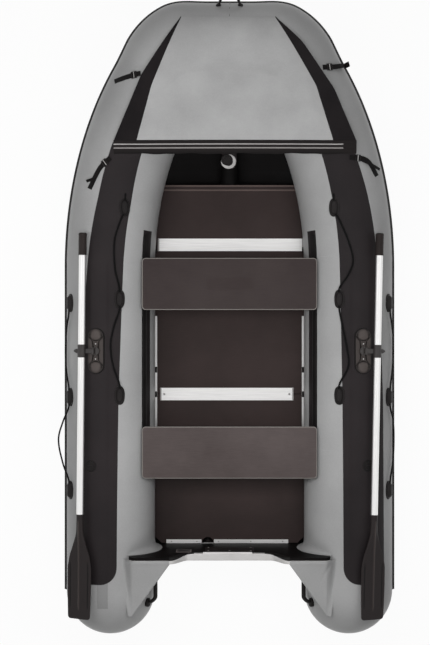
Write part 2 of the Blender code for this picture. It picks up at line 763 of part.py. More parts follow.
def build_floor_metal():
    """Aluminium joiners, side stringers and aft sill, which all hold the boards' edges."""
    slot = BOARD + 2 * GAP
    middle = FLOOR_TOP - BOARD / 2
    section = h_section(JOINER_WIDTH, JOINER_WEB, JOINER_WALL, slot)
    fore = ("fore", FORE_JOINT_Y, FORE_JOINER_INSETS)
    for name, y, insets in (fore, ("aft", AFT_JOINT_Y, AFT_JOINER_INSETS)):
        mesh_data = bmesh.new()
        port_x, starboard_x = insets[0] - FLOOR_HALF, FLOOR_HALF - insets[1]
        place = axes((port_x, y, middle), (0, 1, 0), (0, 0, 1))
        add_prism(mesh_data, section, starboard_x - port_x, place)
        make(name + "_floor_joiner", mesh_data, ALUMINIUM)
    stringer = bmesh.new()
    section = c_section(STRINGER_FLANGE, JOINER_WALL, slot)
    back = FLOOR_HALF + GAP + JOINER_WALL
    place = axes((back, STRINGER_FORE_Y, middle), (1, 0, 0), (0, 0, 1))
    add_prism(stringer, section, STRINGER_FORE_Y - STRINGER_AFT_Y, place)
    make_pair("floor_stringer", stringer, ALUMINIUM)
    sill, notch = bmesh.new(), bmesh.new()
    section = c_section(SILL_WIDTH, JOINER_WALL, slot)
    starboard_x = FLOOR_HALF - SILL_INSETS[1]
    place = axes((starboard_x, SILL_AFT_Y, middle), (0, -1, 0), (0, 0, 1))
    add_prism(sill, section, starboard_x + FLOOR_HALF - SILL_INSETS[0], place)
    low, high = middle - slot, middle + slot
    half = DRAIN_NOTCH + 0.002
    web_y = SILL_AFT_Y + JOINER_WALL
    add_box(notch, (DRAIN_X - half, web_y, low), (DRAIN_X + half, web_y + 2 * SILL_WIDTH, high))
    cut(make("aft_floor_sill", sill, ALUMINIUM), hidden("sill_notch", notch))


# Transom


def transom_place(x=0.0, z=0.0, lift=0.0):
    """On the transom's inner face: X to port, Y up it, Z out of it towards the bow."""
    up = Vector((0, -math.sin(TRANSOM_RAKE), math.cos(TRANSOM_RAKE)))
    forward = Vector((0, math.cos(TRANSOM_RAKE), math.sin(TRANSOM_RAKE)))
    origin = Vector((x, TRANSOM_Y, 0)) + z / math.cos(TRANSOM_RAKE) * up + lift * forward
    return axes(origin, (-1, 0, 0), up)


def transom_top(steps=8):
    """Half the top edge, from the well's middle to the shoulder, with an S-shaped side."""
    points = [(0.0, WELL_Z)]
    for i in range(steps + 1):
        share = i / steps
        x = WELL_HALF + (SHOULDER_X - WELL_HALF) * share
        rise = (1 - math.cos(math.pi * share)) / 2
        points.append((x, WELL_Z + (SHOULDER_Z - WELL_Z) * rise))
    return points


def build_transom():
    radius = 0.02
    low = KEEL_Z + GAP + TRANSOM_THICK * math.sin(TRANSOM_RAKE)
    foot = 0.434
    starboard = transom_top()[1:] + [(TRANSOM_HALF - radius, SHOULDER_Z)]
    starboard += [(TRANSOM_HALF, SHOULDER_Z - radius), (TRANSOM_HALF, 0.3), (foot, 0.3)]
    starboard.append((foot, low + (KEEL_SLOPE + 0.001) * foot))
    bottom = (0.0, low)
    port = [(-x, z) for x, z in reversed(starboard)]
    mesh_data = bmesh.new()
    add_prism(mesh_data, starboard + [bottom] + port, TRANSOM_THICK, transom_place(lift=-TRANSOM_THICK))
    board = make("transom_board", mesh_data, PAINTED_WOOD)
    cut(board, HULL_CUTTER)
    hole = bmesh.new()
    size = DRAIN_RADIUS + GAP
    add_turned(hole, [(size, -0.1), (size, 0.05)], transom_place(DRAIN_X, DRAIN_Z))
    cut(board, hidden("drain_hole", hole))


def build_edging():
    """A U-shaped moulding pressed over the well and its two shoulders."""
    half = transom_top()[1:] + [(SHOULDER_X + 0.004, SHOULDER_Z)]
    path = [(-x, z) for x, z in reversed(half)] + half
    inner, outer = TRANSOM_THICK / 2 + GAP, TRANSOM_THICK / 2 + GAP + EDGING_WALL
    low, seat, top = -EDGING_LEG, 2 * GAP, 2 * GAP + EDGING_WALL
    section = [(outer, low), (outer, top), (-outer, top), (-outer, low)]
    section += [(-inner, low), (-inner, seat), (inner, seat), (inner, low)]
    rings = []
    for i, (x, z) in enumerate(path):
        before, after = path[max(i - 1, 0)], path[min(i + 1, len(path) - 1)]
        along = Vector((after[0] - before[0], after[1] - before[1])).normalized()
        place = transom_place(lift=-TRANSOM_THICK / 2)
        ring = []
        for depth, rise in section:
            ring.append(place @ Vector((x - along.y * rise, z + along.x * rise, depth)))
        rings.append(ring)
    mesh_data = bmesh.new()
    add_loft(mesh_data, rings)
    make("transom_edging", mesh_data, BLACK_PLASTIC)


def build_motor_pads():
    """Plates that an outboard motor's clamps press on, one on each face."""
    inner, outer = bmesh.new(), bmesh.new()
    pad_top = WELL_Z - EDGING_LEG - 0.004
    height = pad_top - INNER_PAD_LOW
    outline = rounded(2 * PAD_HALF, height, 0.008, 2)
    add_prism(inner, outline, INNER_PAD_THICK, transom_place(0, INNER_PAD_LOW + height / 2, GAP))
    make("inner_motor_pad", inner, BLACK_PLASTIC)
    height = pad_top - OUTER_PAD_LOW
    outline = rounded(2 * PAD_HALF, height, 0.012, 2)
    back = -TRANSOM_THICK - GAP - OUTER_PAD_THICK
    add_prism(outer, outline, OUTER_PAD_THICK, transom_place(0, OUTER_PAD_LOW + height / 2, back))
    make("outer_motor_pad", outer, BLACK_PLASTIC)


def build_drain():
    body, plug = bmesh.new(), bmesh.new()
    flange, bore, back = 0.026, 0.0125, -TRANSOM_THICK - 0.004
    profile = [(bore, 0.0045), (flange, 0.0045), (flange, GAP), (DRAIN_RADIUS, GAP)]
    profile += [(DRAIN_RADIUS, back), (bore, back), (bore, -0.022), (0, -0.022)]
    add_turned(body, [(0, -0.018), (bore, -0.018)] + profile, transom_place(DRAIN_X, DRAIN_Z))
    make("drain_valve_body", body, BLACK_PLASTIC)
    stem = bore - RUNNING
    head = 0.0045 + GAP
    profile = [(0, -0.012), (stem, -0.012), (stem, head), (0.017, head), (0.017, 0.012)]
    profile += [(0.008, 0.014), (0.007, 0.024), (0.009, 0.027), (0, 0.028)]
    place = transom_place(DRAIN_X, DRAIN_Z)
    add_turned(plug, profile, place)
    make("drain_plug", plug, BLACK_PLASTIC, place.translation)


def build_knees():
    """Fabric-covered triangular knees between the transom's shoulders and the tubes."""
    back = -TRANSOM_THICK - GAP
    inner_top, inner_low = transom_place(KNEE_INNER_X, SHOULDER_Z - 0.001, back), KNEE_THICK
    low = transom_place(KNEE_INNER_X, SHOULDER_Z - inner_low, back).translation
    outer_top = transom_place(KNEE_OUTER_X, SHOULDER_Z - 0.001, back).translation
    outer_low = transom_place(KNEE_OUTER_X, 0.35, back).translation
    tip_top = Vector((KNEE_OUTER_X, KNEE_AFT_Y, KNEE_TIP_Z))
    tip_low = Vector((KNEE_OUTER_X, KNEE_AFT_Y, 0.33))
    mesh_data = bmesh.new()
    add_loft(mesh_data, [[low, outer_low, tip_low], [inner_top.translation, outer_top, tip_top]])
    for knee in make_pair("transom_knee", mesh_data, GREY_FABRIC):
        cut(knee, HULL_CUTTER)


def build_flanges():
    """Fabric collars that flare from the tubes onto the transom's inner face."""
    angles = [(i + 0.5) * STEP for i in range(-9, -3)]
    wall, flare, reach = 0.0016, 0.025, 0.035
    mesh_data = bmesh.new()
    profile = [(reach, GAP), (reach, GAP + wall), (0.012, GAP + wall + 0.004), (0.003, flare)]
    profile += [(GAP, flare), (GAP, GAP)]
    rings = []
    for angle in angles:
        ring = []
        for ahead, lift in profile:
            point = straight_station(0).point(angle, lift)
            face = TRANSOM_Y - point.z * math.tan(TRANSOM_RAKE)
            ring.append(Vector((point.x, face + ahead, point.z)))
        rings.append(ring)
    add_loft(mesh_data, rings)
    make_pair("transom_flange", mesh_data, GREY_FABRIC)


# Benches


def build_rails():
    """A strip that follows the tube, and on its straight part a bead for the runners."""
    spread = RAIL_HALF_WIDTH / TUBE_RADIUS
    angles = (RAIL_ANGLE - spread, RAIL_ANGLE, RAIL_ANGLE + spread)
    station = straight_station(0)

    def on_facets(angle, lift):
        """Distance from the tube's centre to its facets grows towards their corners."""
        off = (angle - STEP / 2) % STEP
        ray = (TUBE_RADIUS + lift) / math.cos(min(off, STEP - off) - STEP / 2)
        return Vector((TUBE_X + ray * math.sin(angle), 0, TUBE_RADIUS + ray * math.cos(angle)))

    base = [on_facets(a, -RAIL_THICK) for a in angles]
    top = [on_facets(a, GAP + RAIL_THICK) for a in angles]
    normal = Vector((math.sin(RAIL_ANGLE), 0, math.cos(RAIL_ANGLE)))
    across = Vector((math.cos(RAIL_ANGLE), 0, -math.sin(RAIL_ANGLE)))
    ridge = station.point(RAIL_ANGLE)
    ridge.y = 0
    web = 0.002
    start = math.asin(web / BEAD_RADIUS)
    head = []
    for i in range(9):
        turn = start + (2 * math.pi - 2 * start) * i / 8
        side, rise = BEAD_RADIUS * math.sin(turn), BEAD_HEIGHT - BEAD_RADIUS * math.cos(turn)
        head.append(ridge + side * across + rise * normal)
    foot = GAP + RAIL_THICK / 2
    feet = [ridge + s * web * across + foot * normal for s in (1, -1)]
    bead, strip = bmesh.new(), bmesh.new()
    shifts = [Vector((0, y, 0)) for y in (RAIL_AFT_Y, RAIL_TRACK_Y)]
    add_loft(bead, [[p + shift for p in [feet[0], *head, feet[1]]] for shift in shifts])
    rings = []
    for y in (RAIL_AFT_Y, BEND_Y, 0.31, 0.37, RAIL_FORE_Y):
        move = hull_station(y)
        shift = Vector((move.centre.x - TUBE_X, y, move.centre.z - TUBE_RADIUS))
        rings.append([p + shift for p in [*base, *reversed(top)]])
    add_loft(strip, rings)
    for side, turn in (("port", mirrored), ("starboard", kept)):
        rail = make(side + "_seat_rail", turn(strip), RUBBER)
        boolean(rail, hidden(side + "_rail_bead", turn(bead)), "UNION")
        cut(rail, HULL_CUTTER)


def runner_section():
    """Across a starboard runner: a socket round the bead and a foot under the bench."""
    normal = Vector((math.sin(RAIL_ANGLE), math.cos(RAIL_ANGLE)))
    across = Vector((math.cos(RAIL_ANGLE), -math.sin(RAIL_ANGLE)))
    ridge = Vector((TUBE_X, TUBE_RADIUS)) + TUBE_RADIUS / FLAT * normal

    def local(side, rise):
        return ridge + side * across + rise * normal

    mouth = 0.002 + RUNNING
    bore = BEAD_RADIUS + RUNNING
    half, low, high = bore + 0.0035, 0.0046, BEAD_HEIGHT + bore + 0.003
    start = math.asin(mouth / bore)
    socket = []
    for i in range(9):
        turn = start + (2 * math.pi - 2 * start) * i / 8
        socket.append(local(bore * math.sin(turn), BEAD_HEIGHT - bore * math.cos(turn)))
    outer_top, inner_top = local(half, high), local(-half, high)
    foot_top, foot_low = BENCH_Z - GAP, BENCH_Z - GAP - 0.003
    foot = [(outer_top.x, foot_low), (outer_top.x + 0.014, foot_low), (outer_top.x + 0.014, foot_top)]
    foot += [(inner_top.x - 0.022, foot_top), (inner_top.x - 0.022, foot_low), (inner_top.x, foot_low)]
    outline = [local(mouth, low), *socket, local(-mouth, low), local(-half, low), inner_top]
    outline += [Vector(p) for p in reversed(foot)] + [outer_top, local(half, low)]
    return outline


def build_bench(side_name, y):
    """A plywood bench with a runner under each end."""
    board = bmesh.new()
    outline = rounded(BENCH_LENGTH, BENCH_WIDTH, BENCH_CORNER, 3)
    add_prism(board, outline, BENCH_THICK, Matrix.Translation((0, y, BENCH_Z)))
    make(side_name + "_bench_board", board, PLYWOOD, (0, y, BENCH_Z))
    runners = bmesh.new()
    place = axes((0, y + RUNNER_LENGTH / 2, 0), (1, 0, 0), (0, 0, 1))
    add_prism(runners, [(p.x, p.y) for p in runner_section()], RUNNER_LENGTH, place)
    for side, turn in (("port", mirrored), ("starboard", kept)):
        make(side_name + "_bench_runner_" + side, turn(runners), BLACK_PLASTIC, (0, y, BENCH_Z))


# Rowing gear

BASE_TOP = 0.0128
HEAD_LOW = BASE_TOP + RUNNING
HEAD_TOP = HEAD_LOW + 0.0045
HEAD_RADIUS = 0.02
PIN_OUT = 0.008  # outboard of the swivel's axis
PIN_HEIGHT = 0.026
PIN_RADIUS = 0.0035
EAR_INNER = 0.011
EAR_OUTER = 0.016
COLLAR_RADIUS = 0.019
COLLAR_LENGTH = 0.06
KNOB_LENGTH = 0.019
SHAFT_OUT = OAR_LIFT * math.sin(OAR_ANGLE - ROWLOCK_ANGLE)
SHAFT_HEIGHT = OAR_LIFT * math.cos(OAR_ANGLE - ROWLOCK_ANGLE) - TUBE_RADIUS


def rowlock_place(yaw=0.0):
    """On the starboard tube under the rowlock, turned about the swivel's axis."""
    return tube_place(ROWLOCK_ANGLE, ROWLOCK_Y) @ Matrix.Rotation(yaw, 4, "Z")


def build_rowlock_base(side):
    mesh_data = bmesh.new()
    boss = 0.026
    layers = [(BASE_LENGTH, BASE_WIDTH, 0.0395, -0.03), (BASE_LENGTH, BASE_WIDTH, 0.0395, 0.005)]
    layers += [(BASE_LENGTH - 0.006, BASE_WIDTH - 0.006, 0.0365, 0.008)]
    layers += [(0.16, 0.056, 0.0275, 0.0105), (2 * boss, 2 * boss, boss - 0.0005, 0.0108)]
    layers += [(2 * boss, 2 * boss, boss - 0.0005, BASE_TOP)]
    add_pad(mesh_data, layers, rowlock_place())
    mesh_data = mesh_data if side == "starboard" else mirrored(mesh_data)
    cut(make(side + "_rowlock_base", mesh_data, BLACK_PLASTIC), HULL_CUTTER)


def sided(side, mesh_data, point):
    """A starboard mesh and point, or their mirror images."""
    if side == "starboard":
        return mesh_data, point
    return mirrored(mesh_data), Vector((-point.x, point.y, point.z))


def build_rowlock_head(side, place):
    """A turning disc with two ears that hold the arm's pin."""
    disc, forks = bmesh.new(), bmesh.new()
    add_turned(disc, [(0, HEAD_LOW), (HEAD_RADIUS, HEAD_LOW), (HEAD_RADIUS, HEAD_TOP), (0, HEAD_TOP)], place)
    ear = [(-0.006, HEAD_LOW + 0.001), (0.016, HEAD_LOW + 0.001), (0.0155, PIN_HEIGHT)]
    for i in range(1, 4):
        turn = math.pi * i / 4
        ear.append((PIN_OUT + 0.0075 * math.cos(turn), PIN_HEIGHT + 0.0075 * math.sin(turn)))
    ear.append((0.0005, PIN_HEIGHT))
    for y in (EAR_OUTER, -EAR_INNER):
        ear_place = place @ axes((0, y, 0), (1, 0, 0), (0, 0, 1))
        add_prism(forks, ear, EAR_OUTER - EAR_INNER, ear_place)
    disc, origin = sided(side, disc, place.translation)
    forks, _ = sided(side, forks, origin)
    head = make(side + "_rowlock_head", disc, ALUMINIUM, origin)
    boolean(head, hidden(side + "_rowlock_ears", forks), "UNION")
    pin = bmesh.new()
    pin_place = place @ axes((PIN_OUT, -EAR_OUTER + 0.001, PIN_HEIGHT), (1, 0, 0), (0, 0, -1))
    length = 2 * EAR_OUTER - 0.002
    add_turned(pin, [(0, 0), (PIN_RADIUS, 0), (PIN_RADIUS, length), (0, length)], pin_place, 12)
    pin, _ = sided(side, pin, origin)
    boolean(head, hidden(side + "_rowlock_pin", pin), "UNION")


def along_oar(place, y, out=SHAFT_OUT, height=SHAFT_HEIGHT):
    """On the oar's centre line: Z towards the blade, X outboard, Y up."""
    return place @ axes((out, y - ROWLOCK_Y, height), (1, 0, 0), (0, 0, 1))


def build_collar(side, place):
    """A clamp round the shaft, with its knob, and the arm that hinges on the head."""
    ring, arm, bores = bmesh.new(), bmesh.new(), bmesh.new()
    half = COLLAR_LENGTH / 2
    centre = along_oar(place, ROWLOCK_Y)
    edge = COLLAR_RADIUS - 0.002
    profile = [(edge, -half), (COLLAR_RADIUS, 0.002 - half), (COLLAR_RADIUS, half - 0.002), (edge, half)]
    add_turned(ring, [(0, -half)] + profile + [(0, half)], centre, 24)
    arm_half = EAR_INNER - RUNNING
    eye = PIN_RADIUS + 0.0032
    outline = []
    for i in range(7):
        turn = math.pi / 2 + math.pi * i / 6
        outline.append((PIN_OUT + eye * math.cos(turn), PIN_HEIGHT + eye * math.sin(turn)))
    outline += [(SHAFT_OUT, PIN_HEIGHT - eye), (SHAFT_OUT, PIN_HEIGHT + eye)]
    add_prism(arm, outline, 2 * arm_half, place @ axes((0, arm_half, 0), (1, 0, 0), (0, 0, 1)))
    knob = bmesh.new()
    base = COLLAR_RADIUS - 0.001
    knob_place = centre @ axes((base, 0, 0), (0, 1, 0), (0, 0, 1))
    tip = base + KNOB_LENGTH
    profile = [(0, -0.004), (0.011, -0.004), (0.011, 0.004), (0.0085, 0.012), (0.004, tip - base), (0, tip - base)]
    add_turned(knob, profile, knob_place, 12)
    ends = COLLAR_LENGTH
    shaft = SHAFT_RADIUS + GAP
    add_turned(bores, [(0, -ends), (shaft, -ends), (shaft, ends), (0, ends)], centre, 24)
    pin = PIN_RADIUS + RUNNING
    pin_place = place @ axes((PIN_OUT, ends, PIN_HEIGHT), (1, 0, 0), (0, 0, 1))
    add_turned(bores, [(0, 0), (pin, 0), (pin, 2 * ends), (0, 2 * ends)], pin_place, 12)
    origin = place @ Vector((PIN_OUT, 0, PIN_HEIGHT))
    ring, origin = sided(side, ring, origin)
    collar = make(side + "_oar_collar", ring, BLACK_PLASTIC, origin)
    for name, mesh_data in (("arm", arm), ("knob", knob)):
        mesh_data, _ = sided(side, mesh_data, origin)
        boolean(collar, hidden(side + "_collar_" + name, mesh_data), "UNION")
    bores, _ = sided(side, bores, origin)
    cut(collar, hidden(side + "_collar_bores", bores))


NECK_Y = -0.903
BLADE_PLACES = (  # how far aft of the neck, half width, half thickness, how flat
    (0, 0.0165, 0.0165, 0), (0.05, 0.0185, 0.0145, 0.1), (0.1, 0.026, 0.0115, 0.4), (0.16, 0.045, 0.009, 0.85)
)


def blade_sections():
    """Sections from the round neck to the flat blade with round end corners."""
    half = BLADE_WIDTH / 2
    length = NECK_Y - OAR_AFT_Y
    end_radius = 0.03
    sections = list(BLADE_PLACES) + [(0.227, half, 0.0075, 1), (length - end_radius, half, 0.006, 1)]
    for turn in (30, 60, 90):
        inset = end_radius * (1 - math.cos(math.radians(turn)))
        back = end_radius * (1 - math.sin(math.radians(turn)))
        sections.append((length - back, half - inset, 0.006 - 0.002 * turn / 90, 1))
    return sections


def build_blade(side, place):
    """A moulded blade with a middle rib and a spigot that goes into the shaft."""
    flat = [(1, 0.25), (0.86, 0.3), (0.8, 0.55), (0.72, 0.3), (0.16, 0.45), (0.1, 1), (-0.1, 1), (-0.16, 0.45)]
    flat += [(-0.72, 0.3), (-0.8, 0.55), (-0.86, 0.3), (-1, 0.25)]
    flat += [(u, -v) for u, v in reversed(flat)]
    count = len(flat)
    spigot = SHAFT_RADIUS - SHAFT_WALL - GAP
    rings = []
    for back in (-0.04, 0):
        rings.append([])
        for i in range(count):
            turn = 2 * math.pi * (i + 0.5) / count
            point = Vector((spigot * math.cos(turn), spigot * math.sin(turn), back))
            rings[-1].append(along_oar(place, NECK_Y - GAP) @ point)
    tilt = Matrix.Rotation(-(OAR_ANGLE - ROWLOCK_ANGLE), 4, "Z")
    for back, wide, thick, share in blade_sections():
        ring = []
        for i, (u, v) in enumerate(flat):
            turn = 2 * math.pi * (i + 0.5) / count
            across = wide * (math.cos(turn) * (1 - share) + u * share)
            up = thick * (math.sin(turn) * (1 - share) + v * share)
            ring.append(along_oar(place, NECK_Y - GAP) @ tilt @ Vector((across, up, back)))
        rings.append(ring)
    mesh_data = bmesh.new()
    add_loft(mesh_data, rings)
    mesh_data, origin = sided(side, mesh_data, place @ Vector((PIN_OUT, 0, PIN_HEIGHT)))
    make(side + "_oar_blade", mesh_data, BLACK_PLASTIC, origin)


def build_oar(side, yaw):
    """Head, collar, shaft, blade and grip, as they lie along the tube."""
    place = rowlock_place(yaw)
    build_rowlock_head(side, place)
    build_collar(side, place)
    build_blade(side, place)
    shaft, grip = bmesh.new(), bmesh.new()
    fore_y = OAR_FORE_Y - 0.008
    length = fore_y - NECK_Y
    inner = SHAFT_RADIUS - SHAFT_WALL
    profile = [(inner, 0), (SHAFT_RADIUS, 0), (SHAFT_RADIUS, length), (inner, length)]
    add_ring(shaft, profile, along_oar(place, fore_y), 24)
    bore = SHAFT_RADIUS + GAP
    profile = [(0, 0), (0.014, 0), (0.0195, 0.004), (0.0195, 0.012), (0.0185, 0.02), (0.0185, 0.098)]
    profile += [(0.0195, GRIP_LENGTH), (bore, GRIP_LENGTH), (bore, 0.0077), (0, 0.0077)]
    add_turned(grip, profile, along_oar(place, OAR_FORE_Y), 20)
    origin = place @ Vector((PIN_OUT, 0, PIN_HEIGHT))
    for name, mesh_data, look in (("shaft", shaft, ALUMINIUM), ("grip", grip, BLACK_PLASTIC)):
        mesh_data, point = sided(side, mesh_data, origin)
        make(side + "_oar_" + name, mesh_data, look, point)


# Small fittings


def build_cap(name, place, side="starboard"):
    """A valve's cap with its grip rib; it turns to open."""
    cap, rib = bmesh.new(), bmesh.new()
    low, stem = VALVE_TOP + RUNNING, VALVE_BORE - RUNNING
    high = low + 0.0028
    edge = VALVE_BORE + 0.0025
    profile = [(0, -0.004), (stem, -0.004), (stem, low), (edge, low), (edge, high - 0.001)]
    profile += [(edge - 0.0035, high), (0, high)]
    add_turned(cap, profile, place, 20)
    add_box(rib, (-0.0145, -0.003, low + 0.001), (0.0145, 0.003, high + 0.0022), place)
    cap, origin = sided(side, cap, place.translation)
    rib, _ = sided(side, rib, origin)
    lid = make(name + "_valve_cap", cap, BLACK_PLASTIC, origin)
    boolean(lid, hidden(name + "_valve_cap_rib", rib), "UNION")


def build_caps():
    build_cap("port", valve_place(), "port")
    build_cap("starboard", valve_place())
    build_cap("keel", keel_valve_place())


# Carry handles


def build_handle(name, place, length, width, rise, side="starboard"):
    """An arched handle with a finger gap under its bar."""
    bar = 0.012
    foot, leg = length / 2, length / 2 - 0.028
    outer = [(-foot, -0.03), (foot, -0.03), (foot, 0.004), (foot - 0.012, 0.007), (leg, 0.7 * rise)]
    outer += [(leg - 0.012, rise), (0.012 - leg, rise), (-leg, 0.7 * rise), (0.012 - foot, 0.007)]
    outer += [(-foot, 0.004)]
    inner = leg - 0.01
    finger = [(-inner - 0.004, 0.006), (inner + 0.004, 0.006), (inner, rise - bar - 0.006)]
    finger += [(inner - 0.008, rise - bar), (0.008 - inner, rise - bar)]
    finger += [(-inner, rise - bar - 0.006)]
    bodies, gaps = bmesh.new(), bmesh.new()
    across = place @ axes((-width / 2, 0, 0), (0, 1, 0), (0, 0, 1))
    add_prism(bodies, outer, width, across)
    add_prism(gaps, finger, width + 0.02, across @ Matrix.Translation((0, 0, -0.01)))
    bodies, _ = sided(side, bodies, Vector())
    gaps, _ = sided(side, gaps, Vector())
    handle = make(name, bodies, RUBBER)
    cut(handle, hidden(name + "_gap", gaps))
    cut(handle, HULL_CUTTER)


def build_handles():
    for side in ("port", "starboard"):
        place = tube_place(-4 * STEP, STERN_HANDLE_Y)
        build_handle(side + "_stern_handle", place, HANDLE_LENGTH, HANDLE_WIDTH, 0.048, side)
    angle = 4 * STEP
    normal = Vector((0, math.sin(angle), math.cos(angle)))
    origin = front_station(0.0).centre + TUBE_RADIUS * normal
    width = HANDLE_WIDTH - 0.004
    reach = STRAKE_FRONT_Y + HANDLE_REACH - origin.y - width / 2 * normal.z
    place = axes(origin, (0, -normal.z, normal.y), (1, 0, 0))
    build_handle("bow_handle", place, BOW_HANDLE_WIDTH, width, reach / normal.y)


# Dodger

DODGER_SHAPE = (  # aft of the strake's front, then half width inside and outside the gusset
    (0.0875, 0.212, 0.216), (0.4085, 0.374, 0.465), (0.5125, 0.4077, 0.4915), (HEM_BACK, 0.453, 0.56)
)
DODGER_LINES = [(STRAKE_FRONT_Y - back, inner, outer) for back, inner, outer in DODGER_SHAPE]
CREST_Y = FRONT_CENTRE_Y


def dodger_half(y, outer=False):
    """Half width of the cover at y, inside or outside its gussets."""
    column = 2 if outer else 1
    for near, far in zip(DODGER_LINES, DODGER_LINES[1:]):
        if y >= far[0]:
            share = (near[0] - y) / (near[0] - far[0])
            return near[column] + (far[column] - near[column]) * share
    return DODGER_LINES[-1][column]


def dodger_shift(y):
    tip_y = DODGER_LINES[0][0]
    return DODGER_SKEW * min(1.0, (tip_y - y) / (tip_y - HEM_Y))


def cover_height(x, y):
    """Underside of the cover: stretched between the tubes, or lying on them."""
    on_tube = tube_top(x, y)
    row = max(y, HEM_Y)
    half, shift = dodger_half(row), dodger_shift(row)
    share = (x - shift) / half
    if abs(share) > 1:
        return on_tube + GAP
    port, starboard = tube_top(shift - half, y), tube_top(shift + half, y)
    crest = tube_top(0.0, CREST_Y)
    hem = (tube_top(dodger_shift(HEM_Y) - dodger_half(HEM_Y), HEM_Y)) + DODGER_CROWN
    if y >= CREST_Y:
        middle = tube_top(0.0, y)
    else:
        middle = crest + (hem - crest) * (CREST_Y - y) / (CREST_Y - HEM_Y)
    level = port + (starboard - port) * (share + 1) / 2
    rise = middle - (port + starboard) / 2
    stretched = level + rise * (1 - share * share)
    return max(stretched, on_tube or 0.0) + GAP


def add_sheet(mesh_data, rows, thick):
    """A closed sheet from rows of points on its underside."""
    loops = []
    for row in rows:
        up = Vector((0, 0, thick))
        loops.append(list(row) + [p + up for p in reversed(row)])
    add_loft(mesh_data, loops)


def cover_row(y):
    """Underside points across the cover and its side panels, or across the hem."""
    shift = dodger_shift(y)
    inner = dodger_half(y)
    outer = dodger_half(y, outer=True)
    port, starboard = shift - outer, shift + outer
    if y < HEM_Y:
        port, starboard = -HEM_HALF, HEM_HALF
    across = [port + (shift - inner - port) * i / 3 for i in range(3)]
    across += [shift + inner * (i / 5 - 1) for i in range(11)]
    across += [starboard + (shift + inner - starboard) * i / 3 for i in (2, 1, 0)]
    return [Vector((x, y, cover_height(x, y))) for x in across]


def build_dodger():
    """A fabric cover sewn to side panels and a hem, stretched over the bow."""
    fore_y = DODGER_LINES[0][0]
    ys = [fore_y + (HEM_Y - fore_y) * i / 8 for i in range(9)]
    ys += [HEM_Y - 0.004, HEM_Y - HEM_WIDTH]
    sheet = bmesh.new()
    add_sheet(sheet, [cover_row(y) for y in ys], DODGER_THICK)
    cut(make("dodger", sheet, COVER_FABRIC), HULL_CUTTER)


# Grab lines and the cover's straps

GRAB_LINES = {  # from the bow end, through three holders, to the aft end
    "port_inner": (
        (-0.482, 0.588, 0.458), (-0.483, 0.555, 0.4525), (-0.4845, 0.515, 0.4455), (-0.507, 0.46, 0.44),
        (-0.534, 0.37, 0.434), (-0.532, 0.24, 0.428), (-0.511, 0.15, 0.423), (-0.51, 0.1, 0.423),
        (-0.511, 0.05, 0.423), (-0.536, -0.025, 0.4285), (-0.553, -0.115, 0.4295),
        (-0.54, -0.215, 0.4285), (-0.511, -0.3, 0.423), (-0.51, -0.35, 0.423), (-0.51, -0.38, 0.423),
    ),
    "starboard_inner": (
        (0.482, 0.588, 0.458), (0.483, 0.555, 0.4525), (0.4845, 0.515, 0.4455), (0.515, 0.455, 0.441),
        (0.556, 0.36, 0.435), (0.575, 0.272, 0.43), (0.548, 0.205, 0.4295), (0.511, 0.15, 0.423),
        (0.51, 0.1, 0.423), (0.511, 0.05, 0.423), (0.526, -0.03, 0.4265), (0.544, -0.12, 0.429),
        (0.554, -0.21, 0.4295), (0.511, -0.3, 0.423), (0.51, -0.35, 0.423), (0.51, -0.38, 0.423),
    ),
    "port_outer": (
        (-0.758, 0.112, 0.32), (-0.758, 0.08, 0.32), (-0.7585, 0.034, 0.3195), (-0.77, -0.03, 0.294),
        (-0.778, -0.11, 0.272), (-0.778, -0.185, 0.272), (-0.77, -0.255, 0.294), (-0.7585, -0.314, 0.3195),
        (-0.758, -0.361, 0.32), (-0.7585, -0.409, 0.3195), (-0.79, -0.48, 0.275), (-0.815, -0.568, 0.24),
        (-0.79, -0.68, 0.275), (-0.7585, -0.753, 0.3195), (-0.758, -0.8, 0.32), (-0.758, -0.83, 0.32),
    ),
    "starboard_outer": (
        (0.758, 0.112, 0.32), (0.758, 0.08, 0.32), (0.7585, 0.034, 0.3195), (0.768, -0.02, 0.3),
        (0.776, -0.085, 0.28), (0.774, -0.19, 0.286), (0.768, -0.255, 0.3), (0.7585, -0.314, 0.3195),
        (0.758, -0.361, 0.32), (0.7585, -0.409, 0.3195), (0.775, -0.47, 0.284), (0.781, -0.554, 0.265),
        (0.775, -0.665, 0.284), (0.7585, -0.753, 0.3195), (0.758, -0.8, 0.32), (0.758, -0.83, 0.32),
    ),
}
ROPE_SIDES = 6


def smoothed(points, steps):
    """A curve through the points, with its direction at each."""
    points = [Vector(p) for p in points]
    run = [2 * points[0] - points[1], *points, 2 * points[-1] - points[-2]]
    curve = []
    for i in range(len(points) - 1):
        p0, p1, p2, p3 = run[i : i + 4]
        hold = (p2 - p1).length / 3
        leave, arrive = (p2 - p0).normalized() * hold, (p3 - p1).normalized() * hold
        for j in range(steps):
            curve.append(bezier(p1, p1 + leave, p2 - arrive, p2, j / steps))
    curve.append((points[-1], (points[-1] - points[-2]).normalized()))
    return curve


def build_grab_lines():
    for name, points in GRAB_LINES.items():
        rings = []
        for point, along in smoothed(points, 2):
            across = along.cross(Vector((0, 0, 1))).normalized()
            up = across.cross(along)
            ring = []
            for i in range(ROPE_SIDES):
                turn = 2 * math.pi * i / ROPE_SIDES
                ring.append(point + ROPE_RADIUS * (math.cos(turn) * across + math.sin(turn) * up))
            rings.append(ring)
        mesh_data = bmesh.new()
        add_loft(mesh_data, rings)
        make(name + "_grab_line", mesh_data, WEBBING)


